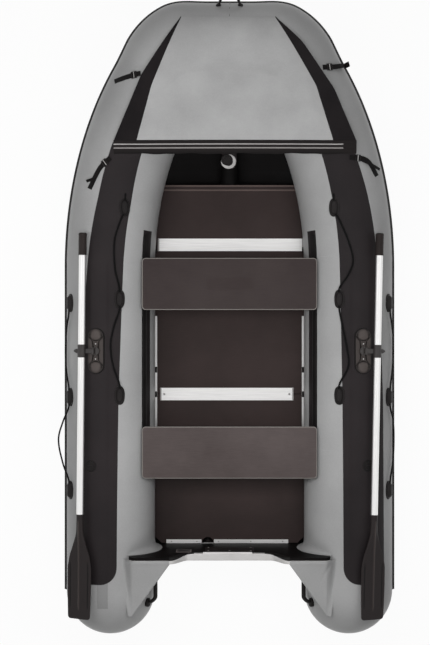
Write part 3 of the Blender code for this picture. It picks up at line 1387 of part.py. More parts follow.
STRAPS = {  # (x, aft of the strake's front) from the cover's edge outwards, and the tail's lift
    "port_upper": (((-0.425, 0.3515), (-0.475, 0.3615), (-0.523, 0.3725)), 0.0),
    "starboard_upper": (((0.455, 0.3155), (0.5, 0.3045), (0.548, 0.2945)), 0.02),
    "port_lower": (((-0.55, 0.7235), (-0.6, 0.7685), (-0.652, 0.8615)), 0.0),
    "starboard_lower": (((0.555, 0.7215), (0.64, 0.7315), (0.69, 0.7985)), 0.0),
}


def build_straps():
    """Webbing straps that lie on the tubes, each with its buckle."""
    for name, (plan, tail) in STRAPS.items():
        curve = smoothed([(x, STRAKE_FRONT_Y - back, 0) for x, back in plan], 6)
        rings = []
        for i, (point, along) in enumerate(curve):
            across = Vector((-along.y, along.x, 0)) * STRAP_WIDTH / 2
            ring = []
            for edge in (point - across, point + across):
                height = tube_top(edge.x, edge.y) or rings[-1][0].z
                ring.append(Vector((edge.x, edge.y, height)))
            lift = tail * (i / (len(curve) - 1)) ** 2
            low = [p + Vector((0, 0, lift - STRAP_THICK)) for p in ring]
            rings.append(low + [p + Vector((0, 0, 2.4 * STRAP_THICK)) for p in reversed(low)])
        mesh_data = bmesh.new()
        add_loft(mesh_data, rings)
        strap = make("dodger_strap_" + name, mesh_data, WEBBING)
        buckle = bmesh.new()
        near, far = rings[2], rings[5]
        start, end = (near[0] + near[1]) / 2, (far[0] + far[1]) / 2
        place = axes(start, end - start, near[1] - near[0])
        half = STRAP_WIDTH / 2 + 0.004
        length = (end - start).length
        add_box(buckle, (0, -half, -0.01), (min(length, 0.03), half, BUCKLE_HEIGHT), place)
        boolean(strap, hidden(name + "_buckle", buckle), "UNION")
        cut(strap, HULL_CUTTER)


def main():
    build_tubes()
    build_baffle()
    build_strake()
    build_bottom()
    build_keel()
    build_sleeve()
    build_floorboards()
    build_floor_metal()
    build_transom()
    build_edging()
    build_motor_pads()
    build_drain()
    build_knees()
    build_flanges()
    build_rails()
    build_bench("front", FRONT_BENCH_Y)
    build_bench("rear", REAR_BENCH_Y)
    for side, yaw in (("port", -PORT_OAR_YAW), ("starboard", STARBOARD_OAR_YAW)):
        build_rowlock_base(side)
        build_oar(side, yaw)
    build_caps()
    build_handles()
    build_dodger()
    build_grab_lines()
    build_straps()


main()
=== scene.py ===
# %% [markdown]
# # Inflatable boat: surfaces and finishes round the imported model
#
# The CAD model gives the boat its boards, fittings and joints. This script dresses it: fabric
# tubes without facets, the bow cover, ropes, straps and screws, and a procedural material on
# every surface. X points to starboard, Y to the bow and Z up, all in metres.

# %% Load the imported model
import math

import bmesh
import bpy
import numpy as np
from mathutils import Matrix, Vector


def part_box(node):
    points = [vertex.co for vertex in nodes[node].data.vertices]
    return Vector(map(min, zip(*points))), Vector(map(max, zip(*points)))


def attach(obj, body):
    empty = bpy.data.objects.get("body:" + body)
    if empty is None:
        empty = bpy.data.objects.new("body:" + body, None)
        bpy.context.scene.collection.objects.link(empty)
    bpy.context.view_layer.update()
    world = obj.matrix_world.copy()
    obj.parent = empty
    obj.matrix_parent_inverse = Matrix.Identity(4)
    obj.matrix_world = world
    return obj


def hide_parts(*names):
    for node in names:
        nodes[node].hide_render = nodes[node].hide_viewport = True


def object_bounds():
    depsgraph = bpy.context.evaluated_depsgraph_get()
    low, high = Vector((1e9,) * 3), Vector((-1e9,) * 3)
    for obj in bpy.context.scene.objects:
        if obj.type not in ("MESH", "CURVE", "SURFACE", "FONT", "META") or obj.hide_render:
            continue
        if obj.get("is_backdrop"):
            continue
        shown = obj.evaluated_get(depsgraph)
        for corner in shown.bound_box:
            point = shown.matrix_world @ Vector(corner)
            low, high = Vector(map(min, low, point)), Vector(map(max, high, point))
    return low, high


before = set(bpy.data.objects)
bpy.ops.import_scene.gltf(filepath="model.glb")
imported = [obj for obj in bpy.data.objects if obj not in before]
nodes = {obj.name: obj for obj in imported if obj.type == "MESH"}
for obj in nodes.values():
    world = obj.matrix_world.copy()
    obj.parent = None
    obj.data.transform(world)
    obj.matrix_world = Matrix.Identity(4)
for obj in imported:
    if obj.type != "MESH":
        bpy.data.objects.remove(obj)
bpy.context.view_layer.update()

# %% [markdown]
# ## The camera
#
# The picture is taken from straight above, about eight metres up, with a long lens. The hull's
# middle line lies a little right of the picture's middle, so the lens is shifted, not the camera:
# a shift keeps both sides of the boat equally visible.

# %% Camera
PICTURE_HEIGHT = 645  # pixels, the long side
FOCAL_PIXELS = 1628
SENSOR_SIZE = 36  # mm
MIDDLE_OFF = 14.5  # pixels from the picture's middle to the hull's middle line
CAMERA_PLACE = (0, -0.010, 8.0)

lens = bpy.data.cameras.new("camera")
lens.sensor_width = SENSOR_SIZE
lens.lens = SENSOR_SIZE * FOCAL_PIXELS / PICTURE_HEIGHT
lens.shift_x = -MIDDLE_OFF / PICTURE_HEIGHT
camera = bpy.data.objects.new("camera", lens)
camera.location = CAMERA_PLACE
bpy.context.scene.collection.objects.link(camera)
bpy.context.scene.camera = camera
print("lens", round(lens.lens, 1), "mm")

# %% [markdown]
# ## Helpers for materials
#
# Colours are written as they look on a screen, in sRGB hex, and Blender's shaders want them in
# linear light, so one function turns them. Another adds a shader node with its settings and its
# links in one call, and the rest build on it.


# %% Colours and nodes
def linear(code):
    """An sRGB hex colour as linear RGBA: each channel c becomes ((c + 0.055) / 1.055) ** 2.4."""
    channels = [int(code[i : i + 2], 16) / 255 for i in (1, 3, 5)]
    lit = [c / 12.92 if c <= 0.04045 else ((c + 0.055) / 1.055) ** 2.4 for c in channels]
    return (*lit, 1.0)


def add_node(tree, kind, links=(), inputs=(), **settings):
    """Adds a shader node. links holds (input, source socket) and inputs holds (input, value)."""
    node = tree.nodes.new(kind)
    for name, value in settings.items():
        setattr(node, name, value)
    for name, value in inputs:
        node.inputs[name].default_value = value
    for name, source in links:
        tree.links.new(source, node.inputs[name])
    return node


def new_material(name, **surface):
    """A material with a Principled shader; surface names its inputs and their values."""
    made = bpy.data.materials.new(name)
    made.use_nodes = True
    shader = made.node_tree.nodes["Principled BSDF"]
    for key, value in surface.items():
        shader.inputs[key.replace("_", " ")].default_value = value
    return made, made.node_tree, shader


def coordinates(tree, which="Object", scale=(1, 1, 1), turn=(0, 0, 0)):
    """A point on the piece, scaled and turned, for a pattern to read."""
    source = add_node(tree, "ShaderNodeTexCoord")
    mapping = add_node(tree, "ShaderNodeMapping", [("Vector", source.outputs[which])])
    mapping.inputs["Scale"].default_value = scale
    mapping.inputs["Rotation"].default_value = turn
    return mapping.outputs["Vector"]


def parts_of(tree, vector):
    """The X, Y and Z sockets of a vector."""
    return add_node(tree, "ShaderNodeSeparateXYZ", [("Vector", vector)]).outputs


def noise(tree, vector, scale, detail=3.0, roughness=0.55):
    """Soft random patches: scale is in patches per metre."""
    values = [("Scale", scale), ("Detail", detail), ("Roughness", roughness)]
    return add_node(tree, "ShaderNodeTexNoise", [("Vector", vector)], values).outputs["Fac"]


def ramp(tree, source, stops):
    """Turns a number into a colour through (place, hex colour) stops."""
    node = add_node(tree, "ShaderNodeValToRGB", [("Fac", source)])
    bar = node.color_ramp
    while len(bar.elements) < len(stops):
        bar.elements.new(0.5)
    for element, (place, code) in zip(bar.elements, stops):
        element.position = place
        element.color = linear(code)
    return node.outputs["Color"]


def mottled(tree, vector, scale, dark, light, detail=3.0):
    """Soft random patches of two colours."""
    return ramp(tree, noise(tree, vector, scale, detail), [(0.3, dark), (0.7, light)])


def feed(tree, node, values):
    """Gives inputs of a node, by their numbers, a socket or a fixed value each."""
    for i, value in values.items():
        if isinstance(value, bpy.types.NodeSocket):
            tree.links.new(value, node.inputs[i])
        else:
            node.inputs[i].default_value = value


def calculate(tree, operation, first, second=0.0, third=0.0, clamp=False):
    """One sum: each of its parts is a socket or a number."""
    node = add_node(tree, "ShaderNodeMath", operation=operation, use_clamp=clamp)
    feed(tree, node, {0: first, 1: second, 2: third})
    return node.outputs[0]


def blend(tree, share, first, second):
    """The first colour where share is 0 and the second where it is 1."""
    node = add_node(tree, "ShaderNodeMix", [("Factor", share)], data_type="RGBA")
    feed(tree, node, {6: first, 7: second})  # the two colour inputs of a mix of colours
    return node.outputs[2]


def paint(tree, shader, colour):
    """Makes a colour socket the surface's base colour."""
    tree.links.new(colour, shader.inputs["Base Color"])


def bump(tree, shader, height, strength, distance, under=None):
    """Relief in the shading: distance is its depth in metres."""
    values = [("Strength", strength), ("Distance", distance)]
    links = [("Height", height)] + ([("Normal", under)] if under else [])
    node = add_node(tree, "ShaderNodeBump", links, values)
    tree.links.new(node.outputs["Normal"], shader.inputs["Normal"])
    return node.outputs["Normal"]


print("helpers ready")

# %% [markdown]
# ## Coated fabrics
#
# The hull is PVC-coated polyester. The threads show through the coating as a faint linen grid,
# and the coating has a soft satin gloss. Two crossed wave patterns make the grid. The real
# threads are 0.5 mm apart, too fine to show from eight metres, so the grid here is 2 mm.


# %% Fabric materials
WAVE_SPACING = 0.314  # metres between a wave texture's bands at scale 1


def stripes(tree, vector, spacing, direction="X"):
    """Parallel sine waves from 0 to 1, one spacing apart in metres."""
    values = [("Scale", WAVE_SPACING / spacing)]
    links = [("Vector", vector)]
    wave = add_node(tree, "ShaderNodeTexWave", links, values, bands_direction=direction)
    return wave.outputs["Fac"]


def weave(tree, vector, spacing):
    """Height of a plain weave: two crossed sine waves."""
    return calculate(tree, "MULTIPLY", *(stripes(tree, vector, spacing, axis) for axis in "XY"))


def coated_fabric(name, colours, roughness, gloss, spacing=0.002, depth=0.00012, patch=3.0):
    """Satin coated cloth: colours run from the darker patches to the lighter ones."""
    made, tree, shader = new_material(name, Roughness=roughness, Specular_IOR_Level=gloss)
    place = coordinates(tree)
    patches = noise(tree, place, patch, 4.0)
    grain = noise(tree, place, 140.0, 2.0)
    grain = calculate(tree, "MULTIPLY", grain, 0.2)
    mixed = calculate(tree, "MULTIPLY_ADD", patches, 0.8, grain)
    paint(tree, shader, ramp(tree, mixed, [(0.36, colours[0]), (0.66, colours[1])]))
    threads = weave(tree, coordinates(tree, "UV"), spacing)
    under = bump(tree, shader, threads, 0.35, depth)
    slack = noise(tree, place, 9.0, 2.0)
    bump(tree, shader, slack, 0.3, 0.004, under)
    return made


hull_grey = coated_fabric("pvc_coated_fabric_grey", ("#8d8d8d", "#999999"), 0.42, 0.3)
black_pvc = coated_fabric("pvc_coated_fabric_black", ("#1d1a1b", "#252122"), 0.44, 0.12)
# Near black, darker than the other black fabric: black cloth whose extra darkness is painted shade
# of the bow locker.
bottom_pvc_painted_shade = coated_fabric("pvc_coated_fabric_bottom_painted_shade", ("#0b0a0a", "#121111"), 0.55, 0.06)
COARSE = (0.003, 0.0003, 5.0)  # the cover cloth's spacing, depth and patches per metre
cover_grey = coated_fabric("woven_cover_cloth_grey", ("#919191", "#9e9e9e"), 0.62, 0.2, *COARSE)
gusset_black = coated_fabric("woven_cover_cloth_black", ("#151314", "#1d1a1b"), 0.66, 0.08, *COARSE)
print("fabrics", hull_grey.name, cover_grey.name)

# %% [markdown]
# ## The grab lines
#
# Four black ropes, braided and 8 mm thick, run through moulded holders on the tubes and lie on
# the fabric in slack curves between them. Each is a fixed length of something flexible, so its
# route comes first: a list of points, through which a smooth curve passes. Every stretch between
# two points is a cubic curve whose handles follow the line from the point before to the point
# after. A round section is then carried along it.

# %% Routes of the grab lines
ROPE_RADIUS = 0.004
GRAB_LINES = {
    "port_inner": (
        (-0.482, 0.588, 0.458), (-0.483, 0.555, 0.4525), (-0.4845, 0.515, 0.4455),
        (-0.507, 0.46, 0.44), (-0.534, 0.37, 0.434), (-0.532, 0.24, 0.428), (-0.511, 0.15, 0.423),
        (-0.51, 0.1, 0.423), (-0.511, 0.05, 0.423), (-0.536, -0.025, 0.4285),
        (-0.553, -0.115, 0.4295), (-0.54, -0.215, 0.4285), (-0.511, -0.3, 0.423),
        (-0.51, -0.35, 0.423), (-0.51, -0.38, 0.423),
    ),
    "starboard_inner": (
        (0.482, 0.588, 0.458), (0.483, 0.555, 0.4525), (0.4845, 0.515, 0.4455),
        (0.515, 0.455, 0.441), (0.556, 0.36, 0.435), (0.575, 0.272, 0.43), (0.548, 0.205, 0.4295),
        (0.511, 0.15, 0.423), (0.51, 0.1, 0.423), (0.511, 0.05, 0.423), (0.526, -0.03, 0.4265),
        (0.544, -0.12, 0.429), (0.554, -0.21, 0.4295), (0.511, -0.3, 0.423), (0.51, -0.35, 0.423),
        (0.51, -0.38, 0.423),
    ),
    "port_outer": (
        (-0.758, 0.112, 0.32), (-0.758, 0.08, 0.32), (-0.7585, 0.034, 0.3195),
        (-0.77, -0.03, 0.294), (-0.778, -0.11, 0.272), (-0.778, -0.185, 0.272),
        (-0.77, -0.255, 0.294), (-0.7585, -0.314, 0.3195), (-0.758, -0.361, 0.32),
        (-0.7585, -0.409, 0.3195), (-0.79, -0.48, 0.275), (-0.815, -0.568, 0.24),
        (-0.79, -0.68, 0.275), (-0.7585, -0.753, 0.3195), (-0.758, -0.8, 0.32),
        (-0.758, -0.83, 0.32),
    ),
    "starboard_outer": (
        (0.758, 0.112, 0.32), (0.758, 0.08, 0.32), (0.7585, 0.034, 0.3195), (0.768, -0.02, 0.3),
        (0.776, -0.085, 0.28), (0.774, -0.19, 0.286), (0.768, -0.255, 0.3),
        (0.7585, -0.314, 0.3195), (0.758, -0.361, 0.32), (0.7585, -0.409, 0.3195),
        (0.775, -0.47, 0.284), (0.781, -0.554, 0.265), (0.775, -0.665, 0.284),
        (0.7585, -0.753, 0.3195), (0.758, -0.8, 0.32), (0.758, -0.83, 0.32),
    ),
}


def unit(vectors):
    """Each vector divided by its own length."""
    vectors = np.asarray(vectors, float)
    return vectors / np.linalg.norm(vectors, axis=-1, keepdims=True)


def smoothed(points, steps):
    """Points on the cubic curves through the given points, steps to a stretch.

    On a stretch from b to c, with a before and d after, the handles are b + h (c - a) and
    c - h (d - b), both of unit direction and a third of the stretch long.
    """
    points = np.array(points, float)
    run = np.vstack([2 * points[0] - points[1], points, 2 * points[-1] - points[-2]])
    a, b, c, d = run[:-3, None], run[1:-2, None], run[2:-1, None], run[3:, None]
    hold = np.linalg.norm(c - b, axis=-1, keepdims=True) / 3
    leave, arrive = b + hold * unit(c - a), c - hold * unit(d - b)
    t = np.linspace(0, 1, steps, endpoint=False)[None, :, None]
    s = 1 - t
    curve = s**3 * b + 3 * s * s * t * leave + 3 * s * t * t * arrive + t**3 * c
    return np.vstack([curve.reshape(-1, 3), points[-1:]])


def run_length(points):
    """Length along a line of points."""
    return float(np.linalg.norm(np.diff(points, axis=0), axis=1).sum())


for name, points in GRAB_LINES.items():
    print(name, "grab line", round(run_length(smoothed(points, 8)), 3), "m")

# %% [markdown]
# ## Meshes from arrays
#
# A grid of points, rows by columns, becomes quads between neighbours. Where a grid closes on
# itself its last row or column is joined to the first, and where it ends in a pole the pole's
# doubled points are merged. Each corner also gets a UV in metres, so that a weave keeps its scale.


# %% Grids into meshes
def mesh_piece(name, points, faces, look, uvs=None, smooth=True):
    """An object from an (n, 3) array and lists of corner numbers; its place is in its mesh."""
    mesh = bpy.data.meshes.new(name)
    mesh.from_pydata(np.asarray(points, float).tolist(), [], faces)
    if uvs is not None:
        layer = mesh.uv_layers.new(name="UVMap")
        corners = np.empty(len(mesh.loops), int)
        mesh.loops.foreach_get("vertex_index", corners)
        layer.data.foreach_set("uv", np.asarray(uvs, float)[corners].ravel())
    mesh.materials.append(look)
    piece = bpy.data.objects.new(name, mesh)
    bpy.context.scene.collection.objects.link(piece)
    if smooth:
        mesh.shade_smooth()
    return piece


def grid_faces(rows, columns, wrap=False, start=0):
    """Corner numbers of the quads of a grid; wrap joins the last column to the first."""
    i = np.arange(rows - 1)[:, None]
    j = np.arange(columns if wrap else columns - 1)[None, :]
    k = (j + 1) % columns
    this, after = i * columns, (i + 1) * columns
    quads = np.stack([this + j, this + k, after + k, after + j], -1)
    return (quads.reshape(-1, 4) + start).tolist()


def grid_uvs(grid):
    """Metres along the rows and columns of a grid, measured on its middle lines."""
    along = np.linalg.norm(np.diff(grid, axis=0), axis=-1).max(axis=1)
    across = np.linalg.norm(np.diff(grid, axis=1), axis=-1).max(axis=0)
    v = np.concatenate([[0], np.cumsum(along)])
    u = np.concatenate([[0], np.cumsum(across)])
    return np.stack(np.meshgrid(u, v), -1).reshape(-1, 2)


FINE_MERGE = 0.000002  # for pieces with points closer than the usual merging distance


def tidy(piece, merge=0.00002):
    """Merges doubled points, drops faces with no area and turns the rest outwards."""
    work = bmesh.new()
    work.from_mesh(piece.data)
    bmesh.ops.remove_doubles(work, verts=work.verts, dist=merge)
    bmesh.ops.dissolve_degenerate(work, edges=work.edges, dist=merge / 10)
    bmesh.ops.recalc_face_normals(work, faces=work.faces)
    work.to_mesh(piece.data)
    work.free()
    return piece


def creased(piece, degrees=38):
    """Smooth shading that breaks at sharp edges."""
    piece.data.shade_smooth()
    piece.data.set_sharp_from_angle(angle=math.radians(degrees))
    return piece


def loft(name, rings, look, ends=True, degrees=38):
    """Joins closed rings, an (n, m, 3) array, into a skin and closes its ends."""
    rings = np.asarray(rings, float)
    rows, columns = rings.shape[:2]
    faces = grid_faces(rows, columns, wrap=True)
    if ends:
        faces.append(list(range(columns - 1, -1, -1)))
        faces.append(list(range((rows - 1) * columns, rows * columns)))
    piece = mesh_piece(name, rings.reshape(-1, 3), faces, look, grid_uvs(rings))
    return creased(tidy(piece), degrees)


def swept_ring(path, section, up=(0, 0, 1)):
    """A flat section (n, 2) carried along a path: its first axis across, its second up."""
    path = np.asarray(path, float)
    along = unit(np.gradient(path, axis=0))
    across = unit(np.cross(along, np.broadcast_to(np.asarray(up, float), along.shape)))
    rise = np.cross(across, along)
    section = np.asarray(section, float)
    aside = section[None, :, :1] * across[:, None]
    return path[:, None] + aside + section[None, :, 1:] * rise[:, None]


def spots_of(piece):
    """The places of a piece's points, as an array."""
    return np.array([v.co for v in piece.data.vertices])


def bell(distance, height, width):
    """A bell curve: height * exp(-(distance / width) ** 2)."""
    return height * np.exp(-((distance / width) ** 2))


def eased(share):
    """Smooth step from 0 to 1."""
    share = np.clip(share, 0, 1)
    return share * share * (3 - 2 * share)


def round_turn(count):
    """Angles in even steps round a circle."""
    return 2 * np.pi * np.arange(count) / count


def circle(count, radius):
    """Points (x, y) round a circle."""
    turn = round_turn(count)
    return np.stack([radius * np.cos(turn), radius * np.sin(turn)], -1)


def enter(piece, slot, *stands_for, body="hull"):
    """Hides the nodes that a piece replaces and hangs the piece on the body that it rides.

    The slot is not used.
    """
    if stands_for:
        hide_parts(*stands_for)
    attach(piece, body)
    return piece


SIDES = (("port", -1), ("starboard", 1))
MIRROR = np.array([-1, 1, 1])
print("mesh helpers ready")

# %% [markdown]
# ## Rope
#
# Polypropylene braid: strands cross in a diamond pattern and leave small bumps. The rope's own
# UV map runs along it, so two slanted wave patterns, one the mirror of the other, give the braid.

# %% Rope material and the four lines
rope_black, tree, shader = new_material(
    "polypropylene_braid_black", Roughness=0.72, Specular_IOR_Level=0.12,
)
BRAID_SLANT, BRAID_PITCH = 0.9, 0.0036
slants = [coordinates(tree, "UV", turn=(0, 0, turn)) for turn in (BRAID_SLANT, -BRAID_SLANT)]
strands = calculate(tree, "MULTIPLY", *(stripes(tree, slant, BRAID_PITCH) for slant in slants))
# The braid is darker where its strands dip: painted shade in its hollows.
paint(tree, shader, ramp(tree, strands, [(0.1, "#060606"), (0.7, "#151415")]))
bump(tree, shader, strands, 0.8, 0.0008)

for name, points in GRAB_LINES.items():
    route = smoothed(points, 8)
    rings = swept_ring(route, circle(14, ROPE_RADIUS))
    line = enter(loft(name + "_rope", rings, rope_black), "rope", name + "_grab_line")
print("grab lines made")

# %% [markdown]
# ## The form of the hull
#
# The hull is one inflated tube from stern tip to stern tip, round the bow. Its middle line runs
# straight along the side, bends inwards on a cubic curve, turns the corner on an arc and crosses
# the bow in a short straight. The corner swells outwards, by the square of a product of sines.
# The line's height rises towards the bow by a power of the distance, which is the boat's sheer.
# Upright sections stand along it, each an ellipse as wide as the tube and a little taller where
# the tube climbs.

# %% Middle line of the tube
TUBE_RADIUS = 0.21
TUBE_X = 0.567  # middle of the side tubes
STRAKE_FRONT_Y = 1.4735
FRONT_CENTRE_Y = STRAKE_FRONT_Y - 0.0083 - TUBE_RADIUS  # less the strake's thickness there
CAP_Y = -1.4935 + TUBE_RADIUS  # the stern's half balls begin here
BEND_Y = 0.25
BEND_HOLD, BOW_HOLD = 0.37, 0.27  # lengths of the bend's two handles
BOW_LIFT = 0.25
SHEER_POWER = 1.8
FRONT_HALF = 0.1
CORNER_TURN = math.radians(52)
CORNER_INNER = 0.03  # radius of the inside of the bow's corner
CORNER_BULGE = 0.068  # how far the corner swells, as a share of the tube's radius
BULGE_BEFORE = 0.12  # the bulge begins this far aft of the corner, along the middle line
TOUCH = 0.0004  # the fabric closes the CAD's 0.3 mm under what is glued to it
NEAR_SECTION = 0.02  # a place further than this from every section has no tube under it
FAR = 9.0


def sheer(y):
    """Height of the middle line, R + lift * share ** 1.8, and its slope."""
    run = FRONT_CENTRE_Y - BEND_Y
    share = np.clip((y - BEND_Y) / run, 0, None)
    slope = BOW_LIFT * SHEER_POWER * share ** (SHEER_POWER - 1) / run
    return TUBE_RADIUS + BOW_LIFT * share**SHEER_POWER, slope


def rows_of(x, y, out_x, out_y, scale=1.0):
    """One stretch of the middle line: x, y, outward x, outward y, width and scale."""
    return np.stack(np.broadcast_arrays(x, y, out_x, out_y, TUBE_RADIUS, scale))


def walk(line):
    """Metres walked along a line whose first two rows are x and y."""
    return np.concatenate([[0], np.cumsum(np.linalg.norm(np.diff(line[:2], axis=1), axis=0))])


def middle_line():
    """Arrays down the starboard half, from the stern's tip to the bow, as rows_of gives them."""
    turn = np.linspace(np.pi / 2, 0, 25)[:-1]
    cap = rows_of(TUBE_X, CAP_Y - TUBE_RADIUS * np.sin(turn), 1.0, 0.0, np.cos(turn))
    side = rows_of(TUBE_X, np.linspace(CAP_Y, BEND_Y, 33)[:-1], 1.0, 0.0)
    pivot = np.array([FRONT_HALF, FRONT_CENTRE_Y - TUBE_RADIUS - CORNER_INNER])
    out = np.array([math.sin(CORNER_TURN), math.cos(CORNER_TURN)])
    reach = CORNER_INNER + TUBE_RADIUS
    start, end = np.array([TUBE_X, BEND_Y]), pivot + reach * out
    hold, bow_hold = start + (0, BEND_HOLD), end + BOW_HOLD * np.array([out[1], -out[0]])
    t = np.linspace(0, 1, 73)[:, None]
    s = 1 - t
    point = s**3 * start + 3 * s * s * t * hold + 3 * s * t * t * bow_hold + t**3 * end
    along = unit(s * s * (hold - start) + 2 * s * t * (bow_hold - hold) + t * t * (end - bow_hold))
    bend = rows_of(point[:, 0], point[:, 1], along[:, 1], -along[:, 0])
    turn = np.linspace(CORNER_TURN, 0, 37)[1:]
    out_x, out_y = np.sin(turn), np.cos(turn)
    corner = rows_of(pivot[0] + reach * out_x, pivot[1] + reach * out_y, out_x, out_y)
    front = rows_of(np.linspace(FRONT_HALF, 0, 9)[1:], FRONT_CENTRE_Y, 0.0, 1.0)
    line = np.concatenate([cap, side, bend, corner, front], axis=1)
    walked = walk(line)
    last = walked[-1] - FRONT_HALF
    first = last - reach * CORNER_TURN
    ridge = (first + last) / 2
    rising = np.clip((walked - first + BULGE_BEFORE) / (ridge - first + BULGE_BEFORE), 0, 1)
    falling = np.clip((last - walked) / (last - ridge), 0, 1)
    hump = np.sin(np.pi / 2 * rising) * np.sin(np.pi / 2 * falling)
    swell = TUBE_RADIUS * CORNER_BULGE * hump**2
    line[:2] += swell * line[2:4]
    line[4] += swell
    return line


MIDDLE = middle_line()
MIDDLE_S = walk(MIDDLE)  # metres along the line from the stern's tip
BOW_S = MIDDLE_S[-1]
print("half the tube's middle line", round(BOW_S, 3), "m")


def at_y(y):
    """Place along the middle line at which its y has this value."""
    return np.interp(y, MIDDLE[1], MIDDLE_S)


def line_at(place):
    """The middle line's six values at places in metres along it."""
    return [np.interp(place, MIDDLE_S, row) for row in MIDDLE]


def on_hull(place, angle, lift=0.0, side=1):
    """Points on the tube: centre + (w + lift) sin(a) outward + (h + lift) cos(a) upward.

    place is in metres along the middle line, angle in radians from the top, outboard positive,
    and side is 1 for starboard and -1 for port.
    """
    place, angle = np.broadcast_arrays(np.asarray(place, float), np.asarray(angle, float))
    x, y, out_x, out_y, wide, scale = line_at(place)
    height, slope = sheer(y)
    tall = TUBE_RADIUS * np.sqrt(1 + (slope * out_x) ** 2)
    across = (wide * scale + lift) * np.sin(angle)
    up = (tall * scale + lift) * np.cos(angle)
    return np.stack([side * (x + across * out_x), y + across * out_y, height + up], -1)


def hull_top(x, y):
    """Height of the tubes' top at places in plan, and nan where there is no tube under them.

    Each place belongs to the section whose plane passes nearest to it, and the ellipse there
    gives the height: h * sqrt(1 - (across / w) ** 2) over the middle line.
    """
    x, y = np.broadcast_arrays(np.abs(np.asarray(x, float)), np.asarray(y, float))
    fine = np.linspace(0, BOW_S, 1600)
    cx, cy, out_x, out_y, wide, scale = line_at(fine)
    dx, dy = x.reshape(-1, 1) - cx, y.reshape(-1, 1) - cy
    off = np.abs(dx * out_y - dy * out_x)
    across = (dx * out_x + dy * out_y) / np.maximum(wide * scale, 1e-6)
    off = np.where(np.abs(across) <= 1, off, FAR)
    best = off.argmin(axis=1)
    row = np.arange(len(best))
    height, slope = sheer(cy[best])
    tall = TUBE_RADIUS * np.sqrt(1 + (slope * out_x[best]) ** 2) * scale[best]
    z = height + tall * np.sqrt(np.clip(1 - across[row, best] ** 2, 0, None))
    return np.where(off[row, best] < NEAR_SECTION, z, np.nan).reshape(x.shape)


print("middle of the deck edge at the hem", hull_top([0.45], [0.79]).round(3))

# %% [markdown]
# ## The hull's fabric
#
# The tubes are welded from flat panels of fabric and blown up hard, so they are smooth and full,
# with a slight softness where air presses between seams. One grid runs from stern tip to stern
# tip, and its ends are poles. The place along the line and the angle round it are its parameters.

# %% Tubes
GRID_ANGLES = np.linspace(-np.pi, np.pi, 97)[:-1]

half_rows = on_hull(MIDDLE_S[:, None], GRID_ANGLES[None, :], TOUCH)
port_rows = half_rows[-2::-1] * MIRROR
hull_rows = np.concatenate([half_rows, port_rows])
hull = mesh_piece(
    "hull_tubes", hull_rows.reshape(-1, 3), grid_faces(len(hull_rows), len(GRID_ANGLES), wrap=True),
    hull_grey, grid_uvs(hull_rows),
)
enter(tidy(hull), "hull_fabric", "port_tube", "starboard_tube")
print("tube faces", len(hull.data.polygons))

# %% [markdown]
# ## What is glued on the tubes
#
# Bands, tapes and reinforcements are further layers of the same fabric. Each is a thin patch:
# its top lies a little above the hull, and its rim goes down into it. A patch's two long edges
# are given as angles along the tube, so the black wear bands can narrow towards the bow, as they
# do on the real boat.


# %% A patch on the hull
PATCH_RIM = 0.0012  # a patch's rim slopes down over this width
SUNK = -0.0006  # to this far under the fabric


def hull_patch(name, places, low, high, thick, look, side=1, columns=17):
    """A layer between the angles low and high, in radians, at each of the places."""
    places, low, high = (np.asarray(v, float) for v in np.broadcast_arrays(places, low, high))
    share = np.linspace(0, 1, columns)[None, :]
    angles = low[:, None] + (high - low)[:, None] * share
    lift = np.full((len(places), columns), TOUCH + thick)
    edge = PATCH_RIM / TUBE_RADIUS
    angles = np.hstack([low[:, None] - edge, angles, high[:, None] + edge])
    places = np.concatenate([[places[0] - PATCH_RIM], places, [places[-1] + PATCH_RIM]])
    angles = np.vstack([angles[:1], angles, angles[-1:]])
    lift = np.pad(lift, 1, constant_values=SUNK)
    grid = on_hull(places[:, None], angles, lift, side)
    piece = mesh_piece(name, grid.reshape(-1, 3), grid_faces(*grid.shape[:2]), look, grid_uvs(grid))
    middle = len(piece.data.polygons) // 2
    outward = on_hull(places[len(places) // 2], angles[len(angles) // 2, columns // 2], 1.0, side)
    face = piece.data.polygons[middle]
    if face.normal.dot(type(face.normal)(outward) - face.center) < 0:
        piece.data.flip_normals()
    piece.data.set_sharp_from_angle(angle=math.radians(38))
    return enter(piece, "hull_fabric")


def round_end(places, radius, span):
    """Shares of a band's width that round off its first end: 1 - sqrt(1 - t * t) either side."""
    t = np.clip(1 - (places - places[0]) / radius, 0, 1)
    return radius / span * (1 - np.sqrt(1 - t * t))


BANDS = {  # y, then the angles of the outer and inner edge in degrees
    "port": (
        (-1.233, 45.5, -11.0), (-0.84, 44.8, -11.8), (-0.373, 39.8, -13.5), (0.1, 31.0, -18.0),
        (0.56, 19.5, -23.5), (0.80, 17.0, -22.0),
    ),
    "starboard": (
        (-1.233, 49.0, -9.5), (-0.84, 48.0, -10.0), (-0.373, 46.8, -11.0), (0.1, 40.0, -13.5),
        (0.56, 29.8, -16.8), (0.80, 23.0, -17.2),
    ),
}
BAND_THICK = 0.0011
BAND_END = 0.08  # the stretch at the stern with closer rows, for the rounded end
OUTER_CORNER, INNER_CORNER = 0.05, 0.078  # radii of that end's corners
for side_name, side in SIDES:
    y, outer, inner = np.array(BANDS[side_name]).T
    ends = at_y(y)
    aft = ends[0] + BAND_END * (1 - np.cos(np.linspace(0, np.pi / 2, 16)[:-1]))
    places = np.concatenate([aft, np.linspace(ends[0] + BAND_END, ends[-1], 88)])
    outer, inner = (np.radians(np.interp(places, ends, edge)) for edge in (outer, inner))
    span = (outer - inner) * TUBE_RADIUS
    high = outer - round_end(places, OUTER_CORNER, span) * (outer - inner)
    low = inner + round_end(places, INNER_CORNER, span) * (outer - inner)
    band = hull_patch(side_name + "_wear_band", places, low, high, BAND_THICK, black_pvc, side, 33)
    print(band.name, "width", round(float(span.max()), 3), "m")

